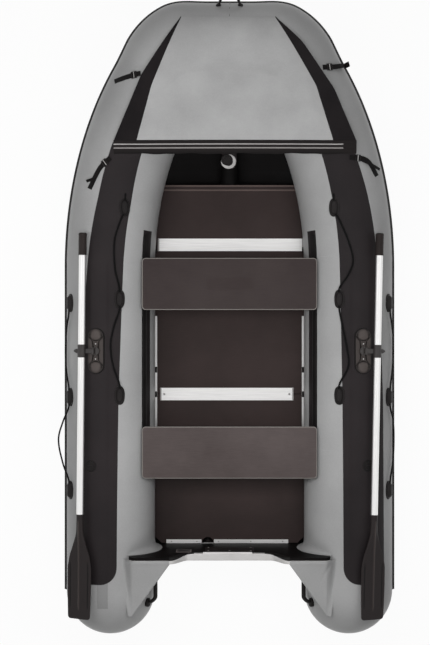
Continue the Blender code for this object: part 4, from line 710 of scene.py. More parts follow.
# %% [markdown]
# ## Seams
#
# Where two panels meet, one laps over the other and a tape of the hull's own fabric is glued
# across. The half balls of the sterns are separate panels, and so are the lengths that make the
# bend. The tapes are 25 mm wide and half a millimetre high, enough to catch the light.

# %% Seam tapes
TAPE_HALF, TAPE_THICK = 0.0125, 0.0005
TAPE_REACH = np.pi - 0.02  # radians either way round the tube
SEAM_YS = (CAP_Y + 0.012, -0.62, 0.29, 0.93)
for side_name, side in SIDES:
    for number, y in enumerate(SEAM_YS, 1):
        name = f"{side_name}_seam_tape_{number}"
        places = at_y(y) + np.linspace(-TAPE_HALF, TAPE_HALF, 5)
        hull_patch(name, places, -TAPE_REACH, TAPE_REACH, TAPE_THICK, hull_grey, side, 97)
print("seam tapes made")

# %% [markdown]
# ## The rubbing strake
#
# A black rubber strip runs round the hull at its widest. Its section has a raised rib between two
# tapering feet, and it is carried along the tube from one stern to the other.

# %% Rubber and the strake
black_rubber, tree, shader = new_material(
    "epdm_rubber_black", Roughness=0.55, Specular_IOR_Level=0.16,
)
place = coordinates(tree)
paint(tree, shader, mottled(tree, place, 12.0, "#0d0c0c", "#181616"))
bump(tree, shader, noise(tree, place, 420.0, 2.0), 0.25, 0.0002)

STRAKE_HALF = 0.021
STRAKE_THICK = 0.0112
PROFILE_TOP = 0.008
FOOT = 0.002  # points of the profile under this height follow the round fabric
profile = np.array([  # share of the half height, and height above the fabric
    (-1.0, 0.0), (-0.98, 0.0016), (-0.74, 0.0026), (-0.56, 0.0048), (-0.42, 0.0074),
    (-0.2, PROFILE_TOP), (0.2, PROFILE_TOP),
    (0.42, 0.0074), (0.56, 0.0048), (0.74, 0.0026), (0.98, 0.0016), (1.0, 0.0),
])
strake_s = np.concatenate([[at_y(CAP_Y)], MIDDLE_S[MIDDLE_S > at_y(CAP_Y) + 1e-6]])
x, y, out_x, out_y, wide, scale = line_at(strake_s)
height, slope = sheer(y)
stretch = np.sqrt(1 + (slope * out_x) ** 2)
rise = profile[None, :, 0] * STRAKE_HALF * stretch[:, None]
inward = wide[:, None] * (1 - np.sqrt(1 - (rise / (TUBE_RADIUS * stretch[:, None])) ** 2))
over = profile[None, :, 1]
reach = wide[:, None] + over * STRAKE_THICK / PROFILE_TOP - np.where(over < FOOT, inward, 0.0)
strake_half = np.stack([
    x[:, None] + reach * out_x[:, None],
    y[:, None] + reach * out_y[:, None],
    height[:, None] + rise,
], -1)
strake_rows = np.concatenate([strake_half, strake_half[-2::-1] * MIRROR])
strake = loft("rubbing_strake_strip", strake_rows, black_rubber, degrees=30)
enter(strake, "black_rubber", "rubbing_strake")

# %% [markdown]
# ## Moulded black plastic
#
# Rope holders, valves and rowlocks are injection moulded in glass-filled nylon. That leaves a
# fine spark-eroded texture and a soft, wide highlight.


# %% Black plastic
def moulded(name, dark, light, roughness, grit=900.0, gloss=0.18):
    """Injection-moulded plastic with a fine texture: grit is in bumps per metre."""
    made, tree, shader = new_material(name, Roughness=roughness, Specular_IOR_Level=gloss)
    place = coordinates(tree)
    paint(tree, shader, mottled(tree, place, 8.0, dark, light))
    bump(tree, shader, noise(tree, place, grit, 1.0), 0.3, 0.00008)
    return made


moulded_black = moulded("glass_filled_nylon_black", "#121010", "#1c1919", 0.42)

# %% [markdown]
# ## Rope holders
#
# Each grab line runs through three oval mouldings welded to the tube: a thin flange under a
# dome that narrows to a ridge over the rope. A moulding is a stack of rounded ovals.


# %% Holders
def tube_axes(angle, y, side=1):
    """Origin on the side tube and its unit axes: across, forward and out of the fabric."""
    across = np.array([side * math.cos(angle), 0.0, -math.sin(angle)])
    height, slope = (float(v) for v in sheer(np.array(y)))
    centre = np.array([np.interp(at_y(y), MIDDLE_S, MIDDLE[0]) * side, y, height])
    forward = unit(np.array([0.0, 1.0, slope]))
    normal = np.cross(across, forward) * side
    return centre + TUBE_RADIUS * normal, across, forward, normal


def powered(values, power):
    """Each value's size raised to a power, with its sign kept."""
    return np.sign(values) * np.abs(values) ** power


def oval_shell(name, levels, axes, look):
    """Stacked rounded ovals: levels hold (length along, width across, height)."""
    origin, across, forward, normal = axes
    turn = round_turn(40)
    rings = []
    for length, width, height in levels:
        a = powered(np.cos(turn), OVAL_POWER) * width / 2
        b = powered(np.sin(turn), OVAL_POWER) * length / 2
        rings.append(origin + a[:, None] * across + b[:, None] * forward + height * normal)
    return loft(name, rings, look, degrees=28)


OVAL_POWER = 0.82  # a little squarer than an ellipse
HOLDER_LEVELS = (
    (0.086, 0.048, -0.008), (0.088, 0.05, 0.0015), (0.087, 0.049, 0.0035), (0.084, 0.046, 0.0042),
    (0.074, 0.036, 0.005), (0.070, 0.033, 0.009), (0.064, 0.029, 0.0135), (0.058, 0.023, 0.0168),
    (0.052, 0.016, 0.0186), (0.04, 0.008, 0.019),
)
HOLDERS = [(-math.radians(15), y) for y in (0.56, 0.0994, -0.35)]
HOLDERS += [(math.radians(60), y) for y in (0.082, -0.3614, -0.8006)]
for side_name, side in SIDES:
    for number, (angle, y) in enumerate(HOLDERS, 1):
        name, axes = f"{side_name}_rope_holder_{number}", tube_axes(angle, y, side)
        enter(oval_shell(name, HOLDER_LEVELS, axes, moulded_black), "black_plastic")
print("rope holders made")

# %% [markdown]
# ## The bow cover
#
# A sewn cloth cover closes the bow. Its middle panel is grey, two long black gussets run down the
# tubes beside it, and a black hem with two pale lines of stitching closes it towards the cockpit.
# The cloth is stretched: between the tubes it follows a shallow arch that rises to the bow, and
# beyond them it lies on the fabric. So its height is the larger of the arch and the tube.

# %% Where the cover lies
HEM_Y = 0.824
HEM_WIDTH = 0.0575
HEM_MIDDLE = 0.0255
HEM_HALF = 0.5585
STITCH_END_X = 0.523
COVER_FRONT_Y = 1.374
COVER_CROWN = 0.012  # how far the arch stands over the tubes at the hem
INNER_EDGES = np.array([  # the grey panel's edges: y, port x, starboard x
    (COVER_FRONT_Y, -0.217, 0.204), (1.07, -0.354, 0.394), (HEM_Y, -0.428, 0.478),
])
OUTER_EDGES = {  # the gussets' outer edges: y, then x
    "port": np.array([(COVER_FRONT_Y, -0.2195), (1.114, -0.4005), (HEM_Y, -0.533)]),
    "starboard": np.array([
        (COVER_FRONT_Y, 0.2065), (1.26, 0.327), (1.122, 0.428), (1.056, 0.477), (HEM_Y, 0.584),
    ]),
}
CLOTH = 0.0011
COVER_LIFT = 0.0008  # the cloth's underside lies this far over the tubes


def softly(y, places, values, reach=0.012):
    """Straight lines between places, with their corners eased over reach."""
    offsets = (-1, -0.5, 0, 0.5, 1)
    steps = [np.interp(np.minimum(y + k * reach, places[-1]), places, values) for k in offsets]
    return sum(steps) / len(offsets)


def cover_edges(y):
    """Middle of the grey panel and half its width."""
    rising = INNER_EDGES[::-1].T
    port, starboard = (softly(y, rising[0], row) for row in rising[1:])
    return (port + starboard) / 2, (starboard - port) / 2


def cover_height(x, y):
    """Underside of the cloth: an arch, level + rise * (1 - share ** 2), or the tube if higher."""
    row = np.maximum(y, HEM_Y)
    centre, half = cover_edges(row)
    share = np.clip((x - centre) / half, -1, 1)
    port, starboard = hull_top(centre - half, y), hull_top(centre + half, y)
    crest = float(hull_top([0.0], [FRONT_CENTRE_Y])[0])
    hem = float(hull_top([INNER_EDGES[-1, 1]], [HEM_Y])[0]) + COVER_CROWN
    falling = crest + (hem - crest) * (FRONT_CENTRE_Y - y) / (FRONT_CENTRE_Y - HEM_Y)
    middle = np.where(y >= FRONT_CENTRE_Y, hull_top(0 * x, y), falling)
    level = port + (starboard - port) * (share + 1) / 2
    arch = level + (middle - (port + starboard) / 2) * (1 - share**2)
    return np.maximum(np.nan_to_num(arch), np.nan_to_num(hull_top(x, y))) + COVER_LIFT


CREASE_FANS = ((0.40, 30), (-0.38, 28))  # x of the corner, and folds to a radian


def creases(x, y):
    """Soft unevenness of stretched cloth: sines that run from its corners and across it."""
    free = np.clip((1.28 - y) / 0.2, 0, 1) * np.clip(1.15 - (x / 0.42) ** 2, 0, 1)
    soft = 0.0011 * np.sin(9.0 * x + 4.0 * y + 0.6) * np.sin(7.0 * y - 3.0 * x)
    for corner_x, folds in CREASE_FANS:
        near = np.exp(-((x - corner_x) ** 2 + (y - 0.80) ** 2) / 0.02)
        soft = soft + 0.0009 * np.sin(folds * np.arctan2(x - corner_x, y - 0.72)) * near
    return soft * free


UNDERSIDE = 0.0006  # the sheet's underside over the cover's height
DEEPEST_CREASE = -0.0004


def cloth_panel(name, x, y, look):
    """A closed sheet over grids of x and y, as thick as the cloth."""
    low = cover_height(x, y) + UNDERSIDE
    under = np.stack([x, y, low + np.maximum(creases(x, y), DEEPEST_CREASE)], -1)
    top = under + np.array([0, 0, CLOTH])
    rings = np.concatenate([under, top[:, ::-1]], axis=1)
    columns = x.shape[1]
    uv = grid_uvs(under).reshape(*x.shape, 2)
    uvs = np.concatenate([uv, uv[:, ::-1]], axis=1)
    faces = grid_faces(len(rings), 2 * columns, wrap=True)
    for start in (0, (len(rings) - 1) * 2 * columns):
        end = start + 2 * columns - 1
        faces += [[start + i, start + i + 1, end - 1 - i, end - i] for i in range(columns - 1)]
    piece = mesh_piece(name, rings.reshape(-1, 3), faces, look, uvs.reshape(-1, 2))
    return creased(tidy(piece, FINE_MERGE), 50)


y = np.linspace(COVER_FRONT_Y, HEM_Y, 90)[:, None]
centre, half = cover_edges(y)
share = np.linspace(-1, 1, 101)[None, :]
cover = cloth_panel("bow_cover_cloth", centre + half * share, y + 0 * share, cover_grey)
enter(cover, "cover_fabric", "dodger")

side_share = np.linspace(0, 1, 22)[None, :]
for side_name, side in SIDES:
    inner = centre + side * half
    outer = softly(y, *OUTER_EDGES[side_name][::-1].T)
    x = inner + (outer - inner) * side_share
    gusset = cloth_panel(f"bow_cover_gusset_{side_name}", x, y + 0 * side_share, gusset_black)
    enter(gusset, "black_fabric")

# %% [markdown]
# ## The hem
#
# The hem is a folded band of black webbing, sewn down in two lines of pale thread, so it stands
# in three soft rolls. Its height is a row of half sines across its width. Its material reads
# the UV map: the pale lines lie at fixed distances from its fore edge.

# %% Hem
hem_look, tree, shader = new_material(
    "sewn_webbing_hem_black", Roughness=0.7, Specular_IOR_Level=0.15,
)
across = parts_of(tree, coordinates(tree, "UV"))["Y"]
stops = [
    (0.0, "#131111"), (0.27, "#1d1a1a"), (0.30, "#9a9796"), (0.345, "#a8a5a4"), (0.375, "#1f1c1c"),
    (0.56, "#221f1f"), (0.60, "#8c8886"), (0.65, "#848180"), (0.68, "#1c1919"), (1.0, "#131111"),
]
bands = ramp(tree, calculate(tree, "MULTIPLY", across, 1 / HEM_WIDTH), stops)
sewn = parts_of(tree, coordinates(tree))["X"]
plain = calculate(tree, "GREATER_THAN", sewn, STITCH_END_X)  # the stitching stops short here
paint(tree, shader, blend(tree, plain, bands, linear("#181515")))
bump(tree, shader, weave(tree, coordinates(tree, "UV"), 0.0024), 0.5, 0.0003)

HEM_THICK = 0.0022
HEM_LAP = 0.004  # the hem's fore edge lies this far over the cover
HEM_ROLLS = 3
back = np.linspace(0, 1, 37)[:, None]
run = np.linspace(-1, 1, 161)[None, :]
wave = 0.0016 * np.sin(14 * run + 0.7) + 0.0011 * np.sin(31 * run)  # of the loose edge
hem_x = HEM_MIDDLE + HEM_HALF * run + 0 * back
hem_y = HEM_Y + HEM_LAP - (HEM_WIDTH + HEM_LAP) * back + wave * back
roll = 0.0016 * np.abs(np.sin(np.pi * HEM_ROLLS * back)) ** 0.7
low = cover_height(hem_x, hem_y) + 0.0012
under = np.stack([hem_x, hem_y, low], -1)
high = low + HEM_THICK * np.sin(np.pi * np.clip(back, 0.06, 0.94)) ** 0.3 + roll
top = np.stack([hem_x, hem_y, high], -1)
strips = np.concatenate([under.transpose(1, 0, 2), top.transpose(1, 0, 2)[:, ::-1]], axis=1)
hem = loft("bow_cover_hem", strips, hem_look, degrees=60)
layer = hem.data.uv_layers["UVMap"]
corners = np.empty(len(hem.data.loops), int)
hem.data.loops.foreach_get("vertex_index", corners)
place = spots_of(hem)[corners]
layer.data.foreach_set("uv", np.stack([place[:, 0], HEM_Y + HEM_LAP - place[:, 1]], -1).ravel())
enter(hem, "black_fabric")

across, along = centre[-1] + half[-1] * share[0], y[:, 0]
level = HEM_Y + 0 * across
wide = run_length(np.stack([across, level, cover_height(across, level)], -1))
long = run_length(np.stack([0 * along, along, cover_height(0 * along, along)], -1))

# %% [markdown]
# ## The cover's straps
#
# Four webbing straps hold the cover down to the tubes. A strap is a ribbon: its path is drawn in
# plan, and both its edges take their heights from the tube beneath, so it lies flat on the round
# fabric. Each passes through a moulded buckle with a bright bar.

# %% Webbing, buckles and straps
webbing_black, tree, shader = new_material(
    "polyester_webbing_black", Roughness=0.78, Specular_IOR_Level=0.12,
)
RIB_SLANT, RIB_PITCH = 0.6, 0.003
ribs = stripes(tree, coordinates(tree, "UV", turn=(0, 0, RIB_SLANT)), RIB_PITCH)
# The webbing is darker in the hollows between its ribs: painted shade.
paint(tree, shader, ramp(tree, ribs, [(0.1, "#0b0a0a"), (0.9, "#1a1818")]))
bump(tree, shader, ribs, 0.6, 0.0004)
bright_steel, tree, shader = new_material("stainless_steel_polished", Roughness=0.28, Metallic=1.0)
place = coordinates(tree)
paint(tree, shader, mottled(tree, place, 60.0, "#b9b7b5", "#d2d0ce"))
bump(tree, shader, noise(tree, place, 900.0, 1.0), 0.15, 0.00005)


def draped(plan, half, lift):
    """Left and right edges of a ribbon on the hull, from plan points and its lift along it."""
    path = smoothed(np.c_[plan, np.zeros(len(plan))], 14)[:, :2]
    along = unit(np.gradient(path, axis=0))
    across = np.stack([-along[:, 1], along[:, 0]], -1) * half
    share = np.linspace(0, 1, len(path))
    edges = []
    for edge in (path - across, path + across):
        z = hull_top(edge[:, 0], edge[:, 1])
        z = np.where(np.isnan(z), np.nanmin(z), z) + STRAP_LIFT + lift * share**2
        edges.append(np.c_[edge, z])
    return edges


def ribbon(name, edges, thick, look, rise=0.0):
    """A closed strip between two edges, thick from its underside to its top."""
    left, right = edges
    share = np.linspace(0, 1, 7)[None, :, None]
    under = left[:, None] * (1 - share) + right[:, None] * share + np.array([0, 0, rise])
    top = under + np.array([0, 0, thick])
    return loft(name, np.concatenate([under, top[:, ::-1]], axis=1), look, degrees=50)


STRAP_HALF, STRAP_THICK, STRAP_LIFT = 0.0112, 0.0016, 0.0009
BUCKLE_EDGE = 0.0008
BUCKLE_BARS = (
    (0.0, 0.004, 0.0, 0.0062), (0.012, 0.015, 0.0042, 0.0072), (0.024, 0.028, 0.0, 0.0062),
)
STRAPS = {  # plan points from the cover's edge outwards, and how far the tail stands clear
    "port_upper": (((-0.404, 1.123), (-0.466, 1.113), (-0.53, 1.1)), 0.0),
    "starboard_upper": (((0.425, 1.152), (0.49, 1.162), (0.553, 1.184)), 0.075),
    "port_lower": (((-0.55, 0.75), (-0.6, 0.705), (-0.652, 0.612)), 0.0),
    "starboard_lower": (((0.555, 0.752), (0.64, 0.742), (0.69, 0.675)), 0.0),
}


def frame_on(start, end, side_point):
    """Origin and unit axes for a fitting: along from start to end, across, and up."""
    along = unit(end - start)
    up = unit(np.cross(along, side_point - start))
    up = up if up[2] > 0 else -up
    return start, along, np.cross(up, along), up


def bar_box(name, axes, low, high, edge, look):
    """A box with chamfered edges in a fitting's own axes: rings from end to end."""
    origin, along, across, up = axes
    low, high = np.array(low, float), np.array(high, float)
    rings = []
    for x, inset in ((low[0], edge), (low[0] + edge, 0), (high[0] - edge, 0), (high[0], edge)):
        y0, y1, z0, z1 = low[1] + inset, high[1] - inset, low[2] + inset, high[2] - inset
        e = edge * 0.7
        ring = [(y0 + e, z0), (y1 - e, z0), (y1, z0 + e), (y1, z1 - e)]
        ring += [(y1 - e, z1), (y0 + e, z1), (y0, z1 - e), (y0, z0 + e)]
        rings.append([origin + x * along + b * across + c * up for b, c in ring])
    return loft(name, rings, look, degrees=30)


for name, (plan, tail) in STRAPS.items():
    edges = draped(np.array(plan), STRAP_HALF, tail)
    strap = ribbon(name + "_cover_strap", edges, STRAP_THICK, webbing_black)
    enter(strap, "webbing", "dodger_strap_" + name)
    near_end = [edge[:12] for edge in edges]
    loop = ribbon(name + "_strap_loop", near_end, STRAP_THICK, webbing_black, rise=0.0022)
    enter(loop, "webbing")
    middle = (edges[0] + edges[1]) / 2
    axes = frame_on(middle[4], middle[9], edges[1][4])
    half = STRAP_HALF + 0.0035
    for number, (near, far, low, high) in enumerate(BUCKLE_BARS, 1):
        look = bright_steel if number == 2 else moulded_black
        corners = (near, -half, low), (far, half, high)
        bar = bar_box(f"{name}_buckle_bar_{number}", axes, *corners, BUCKLE_EDGE, look)
        enter(bar, "black_plastic")
    for number, y0 in enumerate((-half - 0.0005, half - 0.0028), 1):
        corners = (0.0, y0, 0.0), (0.028, y0 + 0.0033, 0.0068)
        rail = bar_box(f"{name}_buckle_side_{number}", axes, *corners, BUCKLE_EDGE, moulded_black)
        enter(rail, "black_plastic")

TAILS = {
    "port_lower": ((-0.6, 0.705), (-0.628, 0.66), (-0.664, 0.645)),
    "starboard_lower": ((0.6, 0.748), (0.65, 0.728), (0.703, 0.705)),
}
for name, plan in TAILS.items():
    edges = draped(np.array(plan), 0.007, 0.03)
    enter(ribbon(name + "_strap_tail", edges, 0.0014, webbing_black, rise=0.004), "webbing")
print("cover, hem and straps made")

# %% [markdown]
# ## Plywood floor and benches
#
# The boards are birch plywood with a dark brown phenolic film pressed on. The film is smooth with
# a fine wire-mesh print that keeps feet from slipping, and it wears to a greyer brown in patches.
# At the sawn edges the plies show as thin layers, under dark sealing paint on the floor and
# nearly bare on the benches.


# %% Film-faced plywood
PLY = 0.0028  # metres from ply to ply
EIGHTH_TURN = 0.785  # radians


def facing(tree):
    """The X, Y and Z sockets of the surface's own direction."""
    return parts_of(tree, add_node(tree, "ShaderNodeNewGeometry").outputs["True Normal"])


def film_faced(name, dark, light, edges=("#2b2422", "#4a3c36"), level=0.7):
    """Brown phenolic film with a pressed mesh; edges show plies, layered along Z.

    A face counts as an edge where its normal's Z is under the level.
    """
    made, tree, shader = new_material(name, Roughness=0.4, Specular_IOR_Level=0.14)
    place = coordinates(tree)
    patches = noise(tree, place, 2.2, 5.0, 0.6)
    scuffs = noise(tree, coordinates(tree, scale=(1.0, 14.0, 1.0)), 16.0, 4.0, 0.7)
    mixed = calculate(tree, "MULTIPLY_ADD", patches, 0.7, calculate(tree, "MULTIPLY", scuffs, 0.3))
    face = ramp(tree, mixed, [(0.34, dark), (0.68, light)])
    height = parts_of(tree, place)["Z"]
    plies = calculate(tree, "FRACT", calculate(tree, "MULTIPLY", height, 1 / PLY))
    edge = ramp(tree, plies, [(0.42, edges[0]), (0.5, edges[1])])
    up = calculate(tree, "ABSOLUTE", facing(tree)["Z"])
    paint(tree, shader, blend(tree, calculate(tree, "GREATER_THAN", up, level), edge, face))
    rough = calculate(tree, "ADD", calculate(tree, "MULTIPLY", scuffs, 0.25), 0.3)
    tree.links.new(rough, shader.inputs["Roughness"])
    mesh = weave(tree, coordinates(tree, turn=(0, 0, EIGHTH_TURN)), 0.0035)
    bump(tree, shader, mesh, 0.35, 0.00012)
    return made


BENCH_FINISH = (("#6b6866", "#7a7672"), 0.985)  # colours of the edges, and the level for them
floor_ply = film_faced("film_faced_birch_plywood_floor", "#282120", "#362d2c")
bench_plies = {
    name: film_faced(f"film_faced_birch_plywood_{name}_bench", dark, light, *BENCH_FINISH)
    for name, dark, light in (("front", "#2c2525", "#3a3332"), ("rear", "#3e3736", "#524a49"))
}


def dress(look, *names):
    """Gives CAD nodes another material, in every slot that they have."""
    for name in names:
        mesh = nodes[name].data
        for i in range(len(mesh.materials)):
            mesh.materials[i] = look


dress(floor_ply, "bow_floorboard", "mid_floorboard", "aft_floorboard")

# %% [markdown]
# ## Bench boards with eased edges
#
# The benches' edges are rounded over with a router, and the wood shows there as a pale line.
# The board is a stack of outlines: a rectangle with round corners, drawn in by the edge's
# quarter circle at the top and at the bottom.


# %% Boards
def corner_outline(length, width, radius, steps=8):
    """A rectangle with round corners, length along X, counterclockwise."""
    turn = np.concatenate([np.linspace(start, start + 90, steps) for start in (0, 90, 180, 270)])
    side_x = np.repeat([1, -1, -1, 1], steps) * (length / 2 - radius)
    side_y = np.repeat([1, 1, -1, -1], steps) * (width / 2 - radius)
    turn = np.radians(turn)
    return np.stack([side_x + radius * np.cos(turn), side_y + radius * np.sin(turn)], -1)


BOARD_CORNER, BOARD_EASE = 0.017, 0.0042


def eased_board(name, low, high, look):
    """A board whose edges follow a quarter circle, above and below."""
    ease, size = BOARD_EASE, high - low
    turn = np.linspace(0, np.pi / 2, 5)
    levels = [(ease * (1 - math.sin(t)), low.z + ease * (1 - math.cos(t))) for t in turn]
    levels += [(ease * (1 - math.cos(t)), high.z - ease * (1 - math.sin(t))) for t in turn]
    middle = np.array([(low.x + high.x) / 2, (low.y + high.y) / 2])
    rings = []
    for inset, z in levels:
        corner = BOARD_CORNER - inset * 0.8
        outline = corner_outline(size.x - 2 * inset, size.y - 2 * inset, corner)
        rings.append(np.c_[outline + middle, np.full(len(outline), z)])
    return loft(name, rings, look, degrees=30)


for name, look in bench_plies.items():
    node = name + "_bench_board"
    low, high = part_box(node)
    board = eased_board(name + "_bench_top", low, high, look)
    enter(board, "film_faced_plywood", node, body=name + "_bench")
    print(board.name, [round(v, 3) for v in high - low])

# %% [markdown]
# ## Aluminium
#
# The joiners, stringers and sill are extruded and anodised, with fine lines along the way they
# were drawn. The oar shafts are drawn tube, with the same lines along them. Stretching the noise
# along one axis makes the lines; anodising keeps the metal pale and a little matt.


# %% Anodised aluminium
def anodised(name, along, dark="#e4e3e2", light="#f6f5f4", roughness=0.34):
    """Pale metal with drawing lines along an axis: 0, 1 or 2."""
    made, tree, shader = new_material(name, Roughness=roughness, Metallic=0.85)
    scale = [1.0, 1.0, 1.0]
    scale[along] = 0.02
    place = coordinates(tree, scale=scale)
    lines = noise(tree, place, 420.0, 3.0)
    paint(tree, shader, ramp(tree, lines, [(0.3, dark), (0.7, light)]))
    bump(tree, shader, lines, 0.25, 0.00006)
    return made


across_metal = anodised("anodised_aluminium_joiner", 0)
along_metal = anodised("anodised_aluminium_stringer", 1)
shaft_metal = anodised("drawn_aluminium_tube", 1, "#e9e8e7", "#faf9f8", 0.28)
dress(across_metal, "fore_floor_joiner", "aft_floor_joiner", "aft_floor_sill")
dress(along_metal, "port_floor_stringer", "starboard_floor_stringer")
collar_black = moulded("glass_filled_nylon_collar_black", "#171414", "#2b2726", 0.36, 500.0, 0.5)
dress(
    collar_black, "port_oar_collar", "starboard_oar_collar", "port_rowlock_head",
    "starboard_rowlock_head",
)
dress(black_rubber, "port_seat_rail", "starboard_seat_rail")
dress(
    moulded_black, "front_bench_runner_port", "front_bench_runner_starboard",
    "rear_bench_runner_port", "rear_bench_runner_starboard", "drain_valve_body", "drain_plug",
    "inner_motor_pad", "outer_motor_pad", "port_valve_cap", "starboard_valve_cap",
    "keel_valve_cap",
)
# The bottom skin and the baffle are darkened further, as painted shade.
dress(bottom_pvc_painted_shade, "bottom_skin", "bow_baffle")
print("boards, metal and plastics done")

# %% [markdown]
# ## The transom
#
# The transom is thick marine plywood, raked four degrees. Its back and top are under grey paint
# with a slight orange peel from the roller, and its inner face is black. The face that looks to
# the bow is told from the others by the direction it faces, and on the shoulders the black runs
# back over the top as far as a smooth step across the boat allows.

# %% Painted transom
TRANSOM_RAKE = math.radians(4)
TRANSOM_Y = -1.0694  # its inner face at ground level
TRANSOM_THICK = 0.027
WELL_Z, SHOULDER_Z = 0.372, 0.455
WELL_HALF, SHOULDER_X = 0.19, 0.276
PAD_HALF = 0.115
BLACK_EDGE = 0.0034  # at the well the black begins this far ahead of the inner face
BLACK_RUNS_BACK = 0.0175
BLACK_WIDENS = (0.15, 0.285)  # between these the black's edge runs back over the top


def on_transom(x, z, lift=0.0):
    """A point at x and height z, lifted off the inner face towards the bow."""
    x, z = np.broadcast_arrays(np.asarray(x, float), np.asarray(z, float))
    y = TRANSOM_Y - z * math.tan(TRANSOM_RAKE) + lift * math.cos(TRANSOM_RAKE)
    return np.stack([x, y, z + lift * math.sin(TRANSOM_RAKE)], -1)


def fore_side(tree, place):
    """1 on the inner face and on the fore part of the shoulders' top, where the finish is black.

    The black's edge runs back by share * share * (3 - 2 share), a smooth step.
    """
    x, y, z = parts_of(tree, place)
    ahead = calculate(tree, "MULTIPLY_ADD", z, math.tan(TRANSOM_RAKE), y)
    start, end = BLACK_WIDENS
    share = calculate(tree, "SUBTRACT", calculate(tree, "ABSOLUTE", x), start)
    share = calculate(tree, "MULTIPLY", share, 1 / (end - start), clamp=True)
    square = calculate(tree, "MULTIPLY", share, share)
    step = calculate(tree, "MULTIPLY", square, calculate(tree, "MULTIPLY_ADD", share, -2.0, 3.0))
    edge = calculate(tree, "MULTIPLY_ADD", step, -BLACK_RUNS_BACK, TRANSOM_Y + BLACK_EDGE)
    return calculate(tree, "GREATER_THAN", ahead, edge)


painted_grey, tree, shader = new_material(
    "painted_marine_plywood_grey", Roughness=0.5, Specular_IOR_Level=0.06,
)
place = coordinates(tree)
grey = mottled(tree, place, 5.0, "#a9a7a6", "#b6b4b3", 4.0)
film = mottled(tree, place, 6.0, "#080707", "#0f0d0d", 4.0)
inner = calculate(tree, "GREATER_THAN", facing(tree)["Y"], 0.7)
inner = calculate(tree, "MAXIMUM", inner, fore_side(tree, place))
paint(tree, shader, blend(tree, inner, grey, film))
bump(tree, shader, noise(tree, place, 220.0, 2.0), 0.3, 0.0002)
dress(painted_grey, "transom_board")

# %% [markdown]
# ## The edging over the well
#
# A pale grey PVC moulding is pressed over the transom's cut top, where the motor hangs. Its line
# is an S on either side, half a cosine wave from the well up to the shoulder, and its section is a
# U with a softly rounded back, carried along that line. Its fore side is black, as the transom's.

# %% Edging
edging_look = moulded("pvc_edging_grey_and_black", "#b4b2b1", "#c0bebd", 0.4, 500.0)
tree = edging_look.node_tree
shader = tree.nodes["Principled BSDF"]
pale = shader.inputs["Base Color"].links[0].from_socket
fore = fore_side(tree, coordinates(tree))
paint(tree, shader, blend(tree, fore, pale, linear("#100f0f")))
share = np.linspace(0, 1, 25)
side_x = WELL_HALF + (SHOULDER_X - WELL_HALF) * share
side_z = WELL_Z + (SHOULDER_Z - WELL_Z) * (1 - np.cos(np.pi * share)) / 2
half_x = np.concatenate([np.linspace(0, WELL_HALF, 20)[:-1], side_x, [SHOULDER_X + 0.004]])
half_z = np.concatenate([np.full(19, WELL_Z), side_z, [SHOULDER_Z]])
half_line = np.stack([half_x, half_z], -1)
line = np.concatenate([half_line[::-1] * (-1, 1), half_line[1:]])
along = unit(np.gradient(line, axis=0))
turn = np.linspace(0, np.pi, 13)
WALL, LEG = 0.0028, 0.018
SEAT = 0.0006  # the inside of the U stands this far over the board's edge
reach = TRANSOM_THICK / 2 + WALL
inside = reach - WALL + 0.0003
back = np.stack([reach * powered(np.cos(turn), 0.35), WALL * 1.6 * np.sin(turn) ** 0.6], -1)
legs = [(-reach, -LEG), (-inside, -LEG), (-inside, SEAT), (inside, SEAT), (inside, -LEG)]
section = np.concatenate([[(reach, -LEG)], back, legs])
spot = line[:, None] + section[None, :, 1:] * np.stack([-along[:, 1], along[:, 0]], -1)[:, None]
rings = on_transom(spot[..., 0], spot[..., 1], section[None, :, 0] - TRANSOM_THICK / 2)
edging = loft("transom_edging_strip", rings, edging_look, degrees=45)
enter(edging, "black_plastic", "transom_edging")
print("edging", round(run_length(rings[:, 0]), 3), "m long")

# %% [markdown]
# ## Knees
#
# A knee is a wedge of board in a fabric cover, glued to the transom's shoulder and to the tube.
# The cover folds over the transom's top edge, slopes down to a point on the tube, and sags into
# the corner beside it. Each section across the boat is a ring: the top runs from the slanting
# free edge outboard, dips through a soft fold and ends just inside the tube's fabric.

# %% Knees
KNEE_INNER_X, KNEE_OUTER_X = 0.279, 0.463
KNEE_AFT_Y = -1.383
KNEE_TIP_Z = 0.3895
LAP_ROWS = 6  # rows that lie on the transom's top
FOLDS = {"port": (0.0016, 0.0), "starboard": (0.0036, 0.0045)}  # depth of the long and short fold


